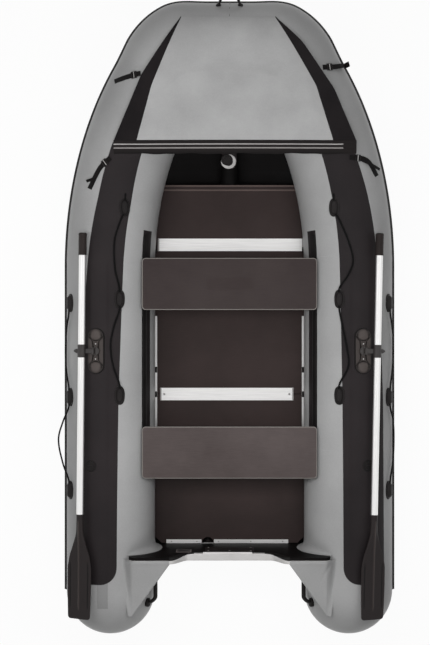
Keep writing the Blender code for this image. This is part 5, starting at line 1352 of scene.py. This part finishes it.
def knee_rings(side_name):
    """Rings from the transom to the knee's tip.

    The top is level + (tube - level) * eased share, from the free edge down to the tube, less a
    shallow belly and two folds, each a bell curve across.
    """
    long_fold, short_fold = FOLDS[side_name]
    top = on_transom(0, SHOULDER_Z + 0.0016, -0.0165)
    back_y = float(on_transom(0, SHOULDER_Z, -TRANSOM_THICK)[1])
    lap = np.linspace(top[1], back_y, LAP_ROWS)[:-1]
    y = np.concatenate([lap, np.linspace(back_y, KNEE_AFT_Y, 44)])
    down = np.clip((back_y - y) / (back_y - KNEE_AFT_Y), 0, 1)[:, None]
    inner_x = KNEE_INNER_X + (KNEE_OUTER_X - 0.004 - KNEE_INNER_X) * down
    foot_x = KNEE_OUTER_X + 0.042 - 0.030 * down
    share = np.linspace(0, 1, 41)[None, :]
    x = inner_x + (foot_x - inner_x) * share
    level = top[2] + (KNEE_TIP_Z - top[2]) * down
    slope_x = KNEE_OUTER_X - 0.012
    out = np.clip((x - slope_x) / (foot_x - slope_x), 0, 1)  # share of the slope
    tube = hull_top(x, np.clip(y, CAP_Y, None)[:, None] + 0 * x) - 0.0012
    tube = np.where(np.isnan(tube), KNEE_TIP_Z - 0.004, tube)
    z = level + (tube - level) * eased(out)
    z = np.maximum(z, np.where(out > 0.5, tube, 0))
    belly = np.sin(np.pi * np.clip(share * 1.25, 0, 1)) * np.sin(np.pi * np.sqrt(down))
    z = z - 0.0035 * belly - bell(x - KNEE_OUTER_X + 0.004, long_fold, 0.006) * (1 - down)
    crease = x - (KNEE_OUTER_X + 0.008) - 0.55 * (y[:, None] - top[1] + 0.01)
    z = z - bell(crease, short_fold, 0.007) * bell(down - 0.1, 1.0, 0.16)
    low_in = np.where(down > 0, SHOULDER_Z - 0.026 - 0.10 * down, SHOULDER_Z - 0.018)
    edge_x = inner_x - 0.004
    ring_x = np.hstack([edge_x, edge_x + 0.0012, x, foot_x - 0.004, edge_x])
    foot_z = np.minimum(0.36, z[:, -1:] - 0.01)
    ring_z = np.hstack([z[:, :1] - 0.004, z[:, :1] - 0.0012, z, foot_z, low_in])
    rings = np.stack([ring_x, np.broadcast_to(y[:, None], ring_x.shape), ring_z], -1)
    rings[:LAP_ROWS, :, 1] -= math.tan(TRANSOM_RAKE) * (rings[:LAP_ROWS, :, 2] - top[2])
    return rings


for side_name, side in SIDES:
    rings = knee_rings(side_name) * np.array([side, 1, 1])
    knee = loft(side_name + "_knee_cover", rings, hull_grey, degrees=40)
    enter(knee, "hull_fabric", side_name + "_transom_knee")
    print(knee.name, "top", round(float(rings[..., 2].max()), 4))

# %% [markdown]
# ## Collars round the tubes at the transom
#
# Where the transom meets the tube, a strip of fabric is glued half on the one and half on the
# other. Air and glue pull it into a hollow curve: a quarter of an ellipse whose two radii shrink
# to nothing where the collar ends.

# %% Collars
COLLAR_FLARE, COLLAR_REACH = 0.025, 0.036
angles = np.radians(np.linspace(-132, -24, 61))
taper = np.clip(np.minimum(angles - angles[0], angles[-1] - angles) / 0.75, 0.02, 1) ** 0.6
turn = np.linspace(0, np.pi / 2, 12)
ahead = COLLAR_REACH * (1 - np.sin(turn))[None, :] * taper[:, None] + 0.0012
lift = COLLAR_FLARE * (1 - np.cos(turn))[None, :] * taper[:, None] + TOUCH + 0.0008
on_board = (lift[:, -1] + 0.009 * taper)[:, None]  # the collar's outer edge, on the transom
column = np.ones_like(on_board)
ahead = np.hstack([ahead, 0.0014 * column, 0.0002 * column, -0.001 * column, ahead[:, :1]])
lift = np.hstack([lift, on_board, on_board + 0.0006, -0.003 * column, -0.002 * column])
for side_name, side in SIDES:
    radius = TUBE_RADIUS + lift
    x = TUBE_X + radius * np.sin(angles)[:, None]
    z = TUBE_RADIUS + radius * np.cos(angles)[:, None]
    y = on_transom(x, z)[..., 1] + ahead
    rings = np.stack([side * x, y, z], -1)
    collar = loft(side_name + "_transom_collar", rings, hull_grey, degrees=50)
    enter(collar, "hull_fabric", side_name + "_transom_flange")
print("collar reaches", round(float(np.abs(x).min()), 3), "m from the middle")

# %% [markdown]
# ## Carrying handles
#
# The handles are rubber loops on two pads. The loop's path is a smooth curve from pad to pad,
# and a flattened oval is carried along it.

# %% Handles
HANDLE_PAD = (  # length, width and height of a pad's levels
    (0.038, 0.030, -0.014), (0.043, 0.034, 0.0006), (0.042, 0.033, 0.004), (0.037, 0.028, 0.0072),
    (0.028, 0.022, 0.009), (0.01, 0.008, 0.0094),
)
PAD_INSET = 0.021


def loop_handle(name, axes, half, rise, section, pad_size=1.0):
    """A loop of length 2 * half along the second axis, standing rise above its pads."""
    origin, across, forward, normal = axes
    side = [(half - 0.012, -0.003), (half - 0.02, 0.004), (half - 0.027, 0.018)]
    side += [(half - 0.034, 0.7 * rise), (half - 0.048, 0.97 * rise), (0.3 * half, rise)]
    line = np.array([(-a, b) for a, b in side] + [(a, b) for a, b in reversed(side)])
    path = origin + line[:, :1] * forward + line[:, 1:] * normal
    loop = loft(name, swept_ring(smoothed(path, 7), section, up=across), black_rubber, degrees=60)
    enter(loop, "black_rubber", name.replace("_loop", ""))
    levels = [(pad_size * a, pad_size * b, c) for a, b, c in HANDLE_PAD]
    for number, place in enumerate((-half + PAD_INSET, half - PAD_INSET), 1):
        spot = (origin + place * forward, across, forward, normal)
        pad = oval_shell(f"{name}_pad_{number}", levels, spot, black_rubber)
        enter(pad, "black_rubber")


STERN_HANDLE_Y, STERN_HANDLE_ANGLE = -1.262, math.radians(-60)
STERN_HANDLE_HALF, STERN_HANDLE_RISE = 0.09, 0.042
oval = circle(20, 0.0086) * np.array([1.0, 1.5])
for side_name, side in SIDES:
    axes = tube_axes(STERN_HANDLE_ANGLE, STERN_HANDLE_Y, side)
    loop_handle(side_name + "_stern_handle_loop", axes, STERN_HANDLE_HALF, STERN_HANDLE_RISE, oval)

low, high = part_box("bow_handle")
tilt = math.radians(60)
normal = np.array([0, math.sin(tilt), math.cos(tilt)])
bow_height = float(sheer(np.array(FRONT_CENTRE_Y))[0])
origin = np.array([0, FRONT_CENTRE_Y, bow_height]) + TUBE_RADIUS * normal
rise = (high.y - origin[1] - 0.016 * math.cos(tilt)) / normal[1]
axes = (origin, np.array([0, -normal[2], normal[1]]), np.array([1.0, 0, 0]), normal)
oval = circle(20, 0.0062) * np.array([1.0, 2.1])
loop_handle("bow_handle_loop", axes, (high.x - low.x) / 2, rise - 0.006, oval, pad_size=0.55)
print("handles made")

# %% [markdown]
# ## The keel tube and its sleeve
#
# Under the floor an air tube presses the bottom down into a V, and its filling sleeve ends in a
# valve in the bow locker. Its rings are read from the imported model: each has a place, a height
# and a radius, and a smooth curve through them gives the finer rings.

# %% Keel tube
KEEL_SIDES, SLEEVE_SIDES = 36, 28
spots = spots_of(nodes["keel_tube"])
keel_y = np.unique(spots[:, 1].round(4))
heights = [spots[np.abs(spots[:, 1] - y) < 0.0005, 2] for y in keel_y]
tops, lows = np.array([h.max() for h in heights]), np.array([h.min() for h in heights])
fine_y = np.unique(np.concatenate([np.linspace(keel_y[0], keel_y[-1], 110), keel_y]))
top, low = np.interp(fine_y, keel_y, tops), np.interp(fine_y, keel_y, lows)
kernel = np.hanning(9) / np.hanning(9).sum()
soft = np.convolve(np.pad(top - low, 4, mode="edge"), kernel, mode="valid")
radius = np.minimum(soft, top - low) / 2
middle = (top + low) / 2
turn = round_turn(KEEL_SIDES)
rings = np.stack([
    radius[:, None] * np.cos(turn),
    np.repeat(fine_y[:, None], KEEL_SIDES, axis=1),
    middle[:, None] + radius[:, None] * np.sin(turn),
], -1)
# The keel tube is darkened further, as painted shade of the bow locker.
keel = enter(loft("keel_air_tube", rings, bottom_pvc_painted_shade, degrees=50), "black_fabric", "keel_tube")

SLEEVE_AFT_Y, SLEEVE_HALF, SLEEVE_THICK = 0.731, 0.036, 0.022
ahead = np.linspace(0, 0.16, 33)
share = np.interp(ahead, (0, 0.019, 0.04, 0.119, 0.16), (0.5, 0.9, 1, 1, 0.8))
turn = 2 * np.pi * (np.arange(SLEEVE_SIDES) + 0.5) / SLEEVE_SIDES
base = np.interp(SLEEVE_AFT_Y + ahead, keel_y, tops) + 0.0004
rings = np.stack([
    SLEEVE_HALF * share[:, None] * powered(np.cos(turn), 0.8),
    np.repeat((SLEEVE_AFT_Y + ahead)[:, None], SLEEVE_SIDES, axis=1),
    base[:, None] + SLEEVE_THICK / 2 * (1 + share[:, None] * np.sin(turn)),
], -1)
sleeve = loft("keel_filling_sleeve", rings, black_pvc, degrees=50)
enter(sleeve, "hull_fabric", "keel_inflation_sleeve")
print("keel tube", round(float(keel_y[0]), 3), "to", round(float(keel_y[-1]), 3))

# %% [markdown]
# ## Valves
#
# Each air chamber has a valve: a moulded flange welded into the fabric, with the cap from the
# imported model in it. A flange is a profile turned about the valve's axis. The keel's is welded
# to its sleeve by a wider, pale ring.


# %% Valve flanges
def spokes(count, across, forward):
    """Unit vectors in even steps round a circle in the plane of two axes."""
    turn = round_turn(count)
    return np.cos(turn)[:, None] * across + np.sin(turn)[:, None] * forward


def turned(name, profile, axes, look):
    """A closed ring: (radius, height) points turned about the fourth axis."""
    origin, across, forward, normal = axes
    out = spokes(40, across, forward)
    profile = np.array(profile)
    rings = origin + profile[None, :, :1] * out[:, None] + profile[None, :, 1:] * normal
    rings = np.concatenate([rings, rings[:1]])
    return loft(name, rings, look, ends=False, degrees=35)


VALVE_RIM = (
    (0.0185, 0.0044), (0.0255, 0.0044), (0.0272, 0.0038), (0.0282, 0.0022), (0.0286, -0.003),
    (0.0185, -0.003),
)
VALVE_ANGLE, VALVE_Y = math.radians(22.5), -0.679
KEEL_VALVE = np.array([-0.012, 0.7725, 0.16959])
KEEL_SLOPE = (0.93504, 0.35455)  # forward and up along the sleeve, of unit length
pale_valve = moulded("abs_valve_ring_pale", "#a9a7a6", "#b6b4b3", 0.45)
axes = {side_name: tube_axes(VALVE_ANGLE, VALVE_Y, side) for side_name, side in SIDES}
ahead, up = KEEL_SLOPE
axes["keel"] = (KEEL_VALVE, *np.array([[1.0, 0, 0], [0, ahead, up], [0, -up, ahead]]))
for name, spot in axes.items():
    enter(turned(name + "_valve_flange", VALVE_RIM, spot, moulded_black), "black_plastic")
origin, across, forward, normal = axes["keel"]
WELT = (
    (0.0215, 0.0018), (0.029, 0.0026), (0.034, 0.0022), (0.0362, 0.0), (0.0366, -0.004),
    (0.0215, -0.004),
)
shifted = (origin + 0.0075 * across - 0.0085 * forward, across, forward, normal)
enter(turned("keel_sleeve_welt", WELT, shifted, pale_valve), "hull_fabric")
print("valve flanges made")

# %% [markdown]
# ## Screws, the motor pad's trim and the bare plate
#
# Small bright screw heads fix the pad and the sill. All the heads of one fitting are one mesh:
# a low dome turned about each place's axis. A small plate on the transom is left bare, in an
# embossed frame.


# %% Small parts of the transom
HEAD_SIDES = 14


def screw_heads(name, places, normal, radius, height):
    """Low domes: height * (1 - (r / radius) ** 2) above the surface, at each of the places."""
    normal = unit(normal)
    across = unit(np.cross(normal, (0, 1, 0) if abs(normal[1]) < 0.9 else (1, 0, 0)))
    forward = np.cross(normal, across)
    share = np.array([1.0, 1.0, 0.85, 0.6, 0.3, 0.04])
    lift = np.array([-0.001, 0.0004, 0, 0, 0, 0]) + height * (1 - share**2)
    head = radius * share[:, None, None] * spokes(HEAD_SIDES, across, forward)
    head = head + lift[:, None, None] * normal
    points, faces = [], []
    for number, place in enumerate(places):
        start = number * len(share) * HEAD_SIDES
        points.append((np.asarray(place, float) + head).reshape(-1, 3))
        faces += grid_faces(len(share), HEAD_SIDES, wrap=True, start=start)
        faces.append([start + i for i in reversed(range(HEAD_SIDES))])
        faces.append([start + (len(share) - 1) * HEAD_SIDES + i for i in range(HEAD_SIDES)])
    piece = mesh_piece(name, np.concatenate(points), faces, bright_steel)
    enter(creased(tidy(piece, FINE_MERGE), 40), "aluminium")


def transom_bar(name, x, z, lift, low, high, edge, look):
    """A box on the transom's inner face, its corners measured from a point of that face."""
    east = np.array([1.0, 0, 0])
    axes = (on_transom(x, z, lift), east, up_rake, np.cross(east, up_rake))
    enter(bar_box(name, axes, low, high, edge, look), "black_plastic")


up_rake = np.array([0, math.cos(TRANSOM_RAKE), math.sin(TRANSOM_RAKE)])
PAD_LIFT = 0.0083
PAD_SCREWS = ((-0.1, 0.266), (0.1, 0.266), (-0.1, 0.336), (0.0, 0.336), (0.1, 0.336))  # x and z
heads = [on_transom(x, z, PAD_LIFT) for x, z in PAD_SCREWS]
screw_heads("motor_pad_screws", heads, up_rake, 0.0048, 0.0034)

trim_white = moulded("pvc_trim_off_white", "#d8d6d5", "#e0dedd", 0.4, 500.0)
plate_grey = moulded("embossed_plate_grey_brown", "#5b5452", "#6d6664", 0.4)
plate_dark = moulded("embossed_plate_black", "#171515", "#201e1e", 0.35)
transom_bar(
    "motor_pad_top_trim", -PAD_HALF - 0.009, WELL_Z - 0.010, 0.0029,
    (0, 0, -0.0005), (2 * PAD_HALF, 0.0052, 0.0105), 0.0006, trim_white,
)
PLATE_SPOT = (-0.252, 0.272, 0.0004)  # x, z and lift of its lower corner
high = (0.072, 0.0014, 0.062)
transom_bar("transom_plate_frame", *PLATE_SPOT, (0, 0, 0), high, 0.0005, plate_grey)
low, high = (0.006, 0.0004, 0.006), (0.066, 0.002, 0.056)
transom_bar("transom_plate_blank", *PLATE_SPOT, low, high, 0.0004, plate_dark)

SILL_SCREWS = (-0.28, -0.158, -0.053, 0.103, 0.257)
low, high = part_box("aft_floor_sill")
heads = [(x, (low.y + high.y) / 2, high.z) for x in SILL_SCREWS]
screw_heads("floor_sill_screws", heads, (0, 0, 1), 0.0036, 0.0016)
print("transom fittings made")

# %% [markdown]
# ## Rowlocks and oars
#
# A rowlock's base is one moulding: a round-ended plate with a groove inside its rim, a low dome
# at each end, and a waist between two curved grooves, with a screw at each end of the waist. Light
# and shade are painted on it: its raised parts are a lighter brown, a painted highlight, and its
# low parts near black, painted shade. A number at each point, raised, tells how much.
# The base's form is a height over the plate's plane.

# %% Rowlock bases
ROWLOCK_Y = -0.1427
ROWLOCK_ANGLE = math.radians(15)
OAR_ANGLE = math.radians(29)
OAR_YAW = {"port": math.radians(0.6), "starboard": math.radians(-1.2)}
OAR_LIFT = TUBE_RADIUS + 0.04
SHAFT_RADIUS = 0.0165
BASE_LENGTH = 0.214
BASE_HALF = 0.0403
DOME_Y = 0.0775
DOME_RADIUS = 0.0262
SCREW_PLACES = (0.033, -0.037)


def raised_plastic(name, stops, roughness, gloss):
    """Moulded plastic coloured by a piece's raised values, through (value, hex colour) stops."""
    made, tree, shader = new_material(name, Roughness=roughness, Specular_IOR_Level=gloss)
    value = add_node(tree, "ShaderNodeAttribute")
    value.attribute_name = "raised"
    paint(tree, shader, ramp(tree, value.outputs["Fac"], stops))
    return made, tree, shader


def set_raised(piece, values):
    """Writes the raised value of each of a piece's points."""
    kept = piece.data.attributes.new("raised", "FLOAT", "POINT")
    kept.data.foreach_set("value", values.astype(np.float32))


def base_height(across, along):
    """Height of the base moulding over the tube: plate, domes, inner waist, grooves and lobes."""
    aside, reach = np.abs(across), np.abs(along)
    rim = BASE_HALF - np.hypot(across, np.clip(reach - BASE_LENGTH / 2 + BASE_HALF, 0, None))
    dome = np.hypot(across, reach - DOME_Y) / DOME_RADIUS
    flare = 0.011 + 0.006 * (reach / 0.046) ** 2 + 0.5 * np.clip(reach - 0.046, 0, None)
    inside = eased((flare - aside) / 0.003) * eased((DOME_Y - reach) / 0.01)
    height = 0.0035 + 0.0042 * eased(rim / 0.004)
    height += 0.0042 * np.clip(1 - dome**2, 0, None) + 0.0012 * inside
    ring = bell((dome - 1.12) * DOME_RADIUS, 0.0028, 0.0018)
    height -= ring * eased((DOME_Y + 0.006 - reach) / 0.012)
    height -= bell(aside - flare, 0.0032, 0.0018) * eased((DOME_Y + 0.012 - reach) / 0.01)
    lobe = np.clip(1 - ((aside - 0.0265) / 0.0125) ** 4, 0, 1)
    return height + 0.0016 * (lobe * eased((0.075 - reach) / 0.03))


# Painted light: near black in the grooves and low parts as painted shade, browner on the raised
# domes and lobes as a painted highlight.
stops = [(0.0, "#0a0908"), (0.35, "#231f1e"), (1.0, "#453f3d")]
moulded_black_painted_light, tree, shader = raised_plastic("glass_filled_nylon_black_painted_light", stops, 0.44, 0.2)
bump(tree, shader, noise(tree, coordinates(tree), 900.0, 1.0), 0.3, 0.00008)

for side_name, side in SIDES:
    origin, across, forward, normal = tube_axes(ROWLOCK_ANGLE, ROWLOCK_Y, side)
    rings = []
    for share in np.sin(np.linspace(-np.pi / 2, np.pi / 2, 121)):
        along = share * (BASE_LENGTH / 2 - 0.00005)
        half = math.sqrt(BASE_HALF**2 - max(abs(along) - BASE_LENGTH / 2 + BASE_HALF, 0) ** 2)
        top = np.linspace(-half, half, 65)
        low = np.linspace(half, -half, 17)
        under = TUBE_RADIUS - np.sqrt(TUBE_RADIUS**2 - low**2) + 0.002
        ring = origin + np.concatenate([top, low])[:, None] * across + along * forward
        rings.append(ring + np.concatenate([base_height(top, along), -under])[:, None] * normal)
    base = loft(side_name + "_rowlock_plate", rings, moulded_black_painted_light, degrees=40)
    spots = spots_of(base) - origin
    height = base_height(spots @ across, spots @ forward)
    # The raised value sets the painted highlight and the painted shade.
    set_raised(base, np.clip((height - 0.0062) / 0.0042, 0, 1))
    enter(base, "black_plastic", side_name + "_rowlock_base")
    heads = [
        origin + y * forward + (float(base_height(0, y)) - 0.0002) * normal for y in SCREW_PLACES
    ]
    screw_heads(side_name + "_rowlock_screws", heads, normal, 0.0034, 0.0018)
print("rowlock bases made")

# %% [markdown]
# ## Shafts, grips and blades
#
# An oar is a drawn tube with a ribbed grip pushed over its fore end and a moulded blade in its
# aft end. The blade grows from the round neck into a flat, round-cornered paddle. A narrow ridge
# runs down its middle, and a long groove lies near each edge.

# %% Oars
OAR_FORE_Y = 0.407
NECK_Y = -0.903
BLADE_LENGTH = 0.487
CORNER = 0.014  # radius of the blade's end corners
RIDGE_END = 0.44
GROOVE_OUT = 0.048  # a groove's distance from the blade's middle line
SHOULDER = (  # distance aft of the neck, and half width
    (0, 0.0165), (0.05, 0.017), (0.093, 0.0195), (0.139, 0.034), (0.19, 0.054), (0.25, 0.066),
    (0.3, 0.0665), (0.49, 0.061),
)
THICKNESS = (  # distance aft of the neck, and half thickness
    (0, 0.0165), (0.05, 0.0145), (0.10, 0.0115), (0.16, 0.009), (0.227, 0.0075),
    (BLADE_LENGTH, 0.0055),
)
GRIP_TIP = (  # distance from the tip, and radius
    (0.0, 0.0125), (0.0008, 0.0155), (0.0025, 0.0182), (0.0048, 0.0194), (0.012, 0.0195),
    (0.0145, 0.0186),
)
GRIP_COLLAR = ((0.0955, 0.0188), (0.097, 0.0195), (0.1025, 0.0195), (0.104, 0.0188))


def oar_axes(side_name, side):
    """Origin under the swivel and the oar's axes: outboard, towards the bow, out of the tube."""
    origin, across, forward, normal = tube_axes(ROWLOCK_ANGLE, ROWLOCK_Y, side)
    sine, cosine = math.sin(OAR_YAW[side_name]), math.cos(OAR_YAW[side_name])
    tilt = OAR_ANGLE - ROWLOCK_ANGLE
    out, height = OAR_LIFT * math.sin(tilt), OAR_LIFT * math.cos(tilt) - TUBE_RADIUS
    turned_across = cosine * across + sine * forward
    turned_forward = cosine * forward - sine * across
    return origin + out * turned_across + height * normal, turned_across, turned_forward, normal


def round_bar(name, axes, stations, look):
    """A bar on the oar's middle line: stations hold (y, radius)."""
    origin, across, forward, normal = axes
    section = circle(48, 1.0)
    rings = []
    for y, radius in stations:
        middle = origin + (y - ROWLOCK_Y) * forward
        rings.append(middle + radius * (section[:, :1] * across + section[:, 1:] * normal))
    return loft(name, rings, look, degrees=32)


def ribbed_grip():
    """Stations of the grip, from its rounded tip back to its collar, with 13 ribs between."""
    ribs = np.linspace(0.016, 0.094, 137)
    waves = 0.0178 + 0.0012 * np.abs(np.sin((ribs - 0.016) / 0.078 * 13 * np.pi)) ** 0.7
    return [(OAR_FORE_Y - d, r) for d, r in (*GRIP_TIP, *zip(ribs, waves), *GRIP_COLLAR)]


fine = np.linspace(0, 0.49, 99)
soften = np.hanning(11)
shoulder = np.pad(np.interp(fine, *np.transpose(SHOULDER)), 4, mode="edge")
shoulder = np.minimum(np.convolve(shoulder, soften[1:-1] / soften.sum(), "valid"), 0.065)


def blade_form(back):
    """Half width, half thickness and flatness at a distance aft of the neck."""
    wide = np.interp(back, fine, shoulder)
    return wide, np.interp(back, *np.transpose(THICKNESS)), eased(back / 0.18)


def blade_grooves(aside, back, width):
    """Depth of the two grooves, 0.5 in their middles, at a distance aside and aft."""
    groove = bell(np.abs(aside) - GROOVE_OUT, 0.5, width) * eased((back - 0.215) / 0.02)
    return groove * eased((RIDGE_END - back) / 0.012)


grip_black = moulded("thermoplastic_rubber_grip_black", "#1d1918", "#272221", 0.55, 500.0, 0.16)
# Painted light on the blade: lighter along its ridge as a painted highlight, darker in its grooves
# as painted shade.
stops = [(0.0, "#0b0a0a"), (0.5, "#231f1f"), (1.0, "#3c3634")]
blade_black = raised_plastic("polypropylene_blade_black_painted_light", stops, 0.46, 0.16)[0]
turn = round_turn(200)
for side_name, side in SIDES:
    body = side_name + "_oar"
    axes = oar_axes(side_name, side)
    stations = [(OAR_FORE_Y - 0.008, SHAFT_RADIUS), (NECK_Y, SHAFT_RADIUS)]
    shaft = round_bar(side_name + "_oar_tube", axes, stations, shaft_metal)
    enter(shaft, "aluminium", side_name + "_oar_shaft", body=body)
    grip = round_bar(side_name + "_oar_handle_grip", axes, ribbed_grip(), grip_black)
    enter(grip, "black_plastic", side_name + "_oar_grip", body=body)

    origin, across, forward, normal = axes
    tilt = OAR_ANGLE - ROWLOCK_ANGLE
    flat_across = math.cos(tilt) * across - math.sin(tilt) * normal
    flat_up = math.sin(tilt) * across + math.cos(tilt) * normal
    rings = []
    neck = np.linspace(0, 0.227, 36)[:-1]
    flat_part = np.linspace(0.227, BLADE_LENGTH - CORNER, 22)[:-1]
    end = BLADE_LENGTH - CORNER + CORNER * np.sin(np.linspace(0, np.pi / 2, 7))
    for back in np.concatenate([neck, flat_part, end]):
        wide, thick, flat = blade_form(back)
        in_corner = max(back - BLADE_LENGTH + CORNER, 0)
        half = wide - (CORNER - math.sqrt(max(CORNER**2 - in_corner**2, 0)))
        share = np.cos(turn)
        ridge = bell(share * half, 1.0, 0.0042) * eased((RIDGE_END - back) / 0.012)
        grooves = blade_grooves(share * half, back, 0.003)
        level = 0.42 + 0.25 * (1 - share**2) + 0.75 * ridge - 0.85 * grooves
        level *= np.clip((1 - np.abs(share)) / 0.03, 0, 1) ** 0.5
        up = np.sin(turn) * (1 - flat) + np.sign(np.sin(turn)) * level * flat
        middle = origin + (NECK_Y - back - ROWLOCK_Y) * forward
        ring = middle + (share * half)[:, None] * flat_across
        rings.append(ring + (thick * up)[:, None] * flat_up)
    blade = loft(side_name + "_oar_paddle", rings, blade_black, degrees=40)
    spots = spots_of(blade) - origin
    aside, back = spots @ flat_across, NECK_Y - ROWLOCK_Y - spots @ forward
    # Raised values: high on the ridge for the painted highlight, low in the grooves for the painted
    # shade.
    value = 0.5 + bell(aside, 0.5, 0.003) * (back > 0.03) * (back < RIDGE_END)
    set_raised(blade, value - blade_grooves(aside, back, 0.0034))
    enter(blade, "black_plastic", side_name + "_oar_blade", body=body)
print("oars made")

# %% [markdown]
# ## Small hardware
#
# Plugs close the floor joiners' ends, and a ball lock near one end keeps the boards together.
# Dark clips hold the stringers on the boards' edges. A strip of tape covers the panel joint on
# the port stern, two thin battens stiffen the fore edge of the bow board, and each seat rail
# lies on a strip of black fabric.

# %% Joiner plugs, clips, battens and base strips
CLIP_PLACES = (-0.357, -0.238, 0.34)
RAIL_TURN = math.radians(-56.5)  # where the seat rails lie round the tubes
RAIL_SPREAD = 0.031 / TUBE_RADIUS  # half the base strip's width, as an angle
RAIL_OVERHANG = (0.01, 0.028)  # the base strip aft of and ahead of its rail


def slab(name, low, high, edge, look, slot="black_plastic"):
    """A box along the axes with eased edges, from its low to its high corner."""
    enter(bar_box(name, (np.zeros(3), *np.eye(3)), low, high, edge, look), slot)


plug_grey = moulded("polyethylene_plug_grey", "#8f8c8b", "#9b9897", 0.5, 500.0)
for name in ("fore", "aft"):
    low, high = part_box(name + "_floor_joiner")
    for side_name, end, inward in (("port", low.x, 1), ("starboard", high.x, -1)):
        ends = sorted((end - inward * 0.0006, end + inward * 0.006))
        slab(
            f"{name}_joiner_plug_{side_name}", (ends[0], low.y + 0.001, high.z - 0.004),
            (ends[1], high.y - 0.001, high.z + 0.0008), 0.0006, plug_grey,
        )
low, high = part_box("aft_floor_joiner")
heads = [(x, (low.y + high.y) / 2, high.z) for x in (low.x + 0.02, high.x - 0.02)]
screw_heads("joiner_ball_locks", heads, (0, 0, 1), 0.0055, 0.003)
for side_name, side in SIDES:
    low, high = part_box(side_name + "_floor_stringer")
    for number, y in enumerate(CLIP_PLACES, 1):
        slab(
            f"{side_name}_stringer_clip_{number}", (low.x + 0.0005, y - 0.014, high.z - 0.003),
            (high.x - 0.0005, y + 0.014, high.z + 0.0014), 0.0008, moulded_black,
        )
low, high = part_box("bow_floorboard")
batten_brown = film_faced("hardwood_batten_brown", "#4d4340", "#5f5350")
for number, y in enumerate((high.y - 0.004, high.y - 0.0245), 1):
    slab(
        f"bow_board_batten_{number}", (low.x + 0.028, y - 0.004, high.z - 0.002),
        (high.x - 0.028, y + 0.004, high.z + 0.0022), 0.0012, batten_brown, slot="painted_wood",
    )
tape_grey = coated_fabric("hull_tape_grey", ("#7c7c7c", "#858585"), 0.5, 0.2)
places = at_y(np.linspace(-1.345, -1.205, 24))
hull_patch("port_stern_tape", places, 0.0, math.radians(14), 0.0008, tape_grey, -1)
aft, fore = RAIL_OVERHANG
for side_name, side in SIDES:
    low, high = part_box(side_name + "_seat_rail")
    places = at_y(np.linspace(low.y - aft, high.y + fore, 60))
    inner, outer = RAIL_TURN - RAIL_SPREAD, RAIL_TURN + RAIL_SPREAD
    hull_patch(side_name + "_rail_base", places, inner, outer, 0.0007, black_pvc, side)
print("small hardware made")

# %% [markdown]
# ## Floor, light and the sizes
#
# The boat stands on a pale studio floor. The floor looks nearly white to the camera and in
# reflections, and keeps the boat's shadow. Three large lamps over the boat give most of the
# plain, even light of a product picture and show in no reflection. Three further off give the
# highlights.


# %% Studio
def seen(tree, much):
    """A number: much where the camera or a reflection sees the surface, and 0 elsewhere."""
    path = add_node(tree, "ShaderNodeLightPath")
    eye = calculate(tree, "MAXIMUM", path.outputs["Is Camera Ray"], path.outputs["Is Glossy Ray"])
    return calculate(tree, "MULTIPLY", eye, much)


FLOOR_HALF, FLOOR_Z = 14, -0.002
floor_look, tree, shader = new_material("studio_paper_white", Roughness=0.9)
shader.inputs["Base Color"].default_value = linear("#d8d8d8")
white = [("Color", linear("#ffffff")), ("Strength", 1.0)]
glow = add_node(tree, "ShaderNodeEmission", inputs=white)
mix = add_node(tree, "ShaderNodeMixShader", [("Fac", seen(tree, 0.95))])
tree.links.new(shader.outputs["BSDF"], mix.inputs[1])
tree.links.new(glow.outputs["Emission"], mix.inputs[2])
tree.links.new(mix.outputs["Shader"], tree.nodes["Material Output"].inputs["Surface"])

corners = [(-1, -1), (1, -1), (1, 1), (-1, 1)]
corners = np.array([(x * FLOOR_HALF, y * FLOOR_HALF, FLOOR_Z) for x, y in corners], float)
floor = mesh_piece("studio_floor", corners, [[0, 1, 2, 3]], floor_look, smooth=False)
floor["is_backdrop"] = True

world = bpy.data.worlds.new("studio")
bpy.context.scene.world = world
world.use_nodes = True
tree = world.node_tree
backdrop = tree.nodes["Background"]
backdrop.inputs["Color"].default_value = linear("#f4f4f4")
tree.links.new(calculate(tree, "ADD", seen(tree, 0.82), 0.13), backdrop.inputs["Strength"])


def softbox(name, place, aim, size, watts, shine=True):
    """An area lamp that faces a point; without shine it shows in no reflection."""
    lamp = bpy.data.lights.new(name, "AREA")
    lamp.shape = "RECTANGLE"
    lamp.size, lamp.size_y = size
    lamp.energy = watts
    lit = bpy.data.objects.new(name, lamp)
    way = Vector(aim) - Vector(place)
    lit.location = place
    lit.visible_glossy = shine
    lit.rotation_euler = way.to_track_quat("-Z", "Y").to_euler()
    bpy.context.scene.collection.objects.link(lit)


softbox("lamp_over", (-0.42, 0.0, 3.0), (-0.15, 0.0, 0), (1.0, 4.8), 90, shine=False)
softbox("lamp_over_bow", (-0.1, 2.9, 3.3), (0, 1.0, 0.3), (1.4, 1.0), 21, shine=False)
softbox("lamp_over_stern", (0.0, -3.1, 3.2), (0, -1.2, 0.2), (1.6, 1.0), 31, shine=False)
softbox("lamp_port", (-3.4, 0.6, 5.0), (0, 0, 0.2), (1.6, 3.0), 6)
softbox("lamp_starboard", (3.4, 0.2, 5.0), (0, 0, 0.2), (1.6, 3.0), 6)
softbox("lamp_bow", (0, 4.4, 4.4), (0, 0.2, 0.2), (3.0, 1.6), 10)
bpy.context.scene.view_settings.view_transform = "Standard"

# %% [markdown]
# ## Sizes
#
# The box round the dressed boat is printed.

# %% Boxes and the end
low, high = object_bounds()
print("visual box", [round(v, 3) for v in low], [round(v, 3) for v in high])
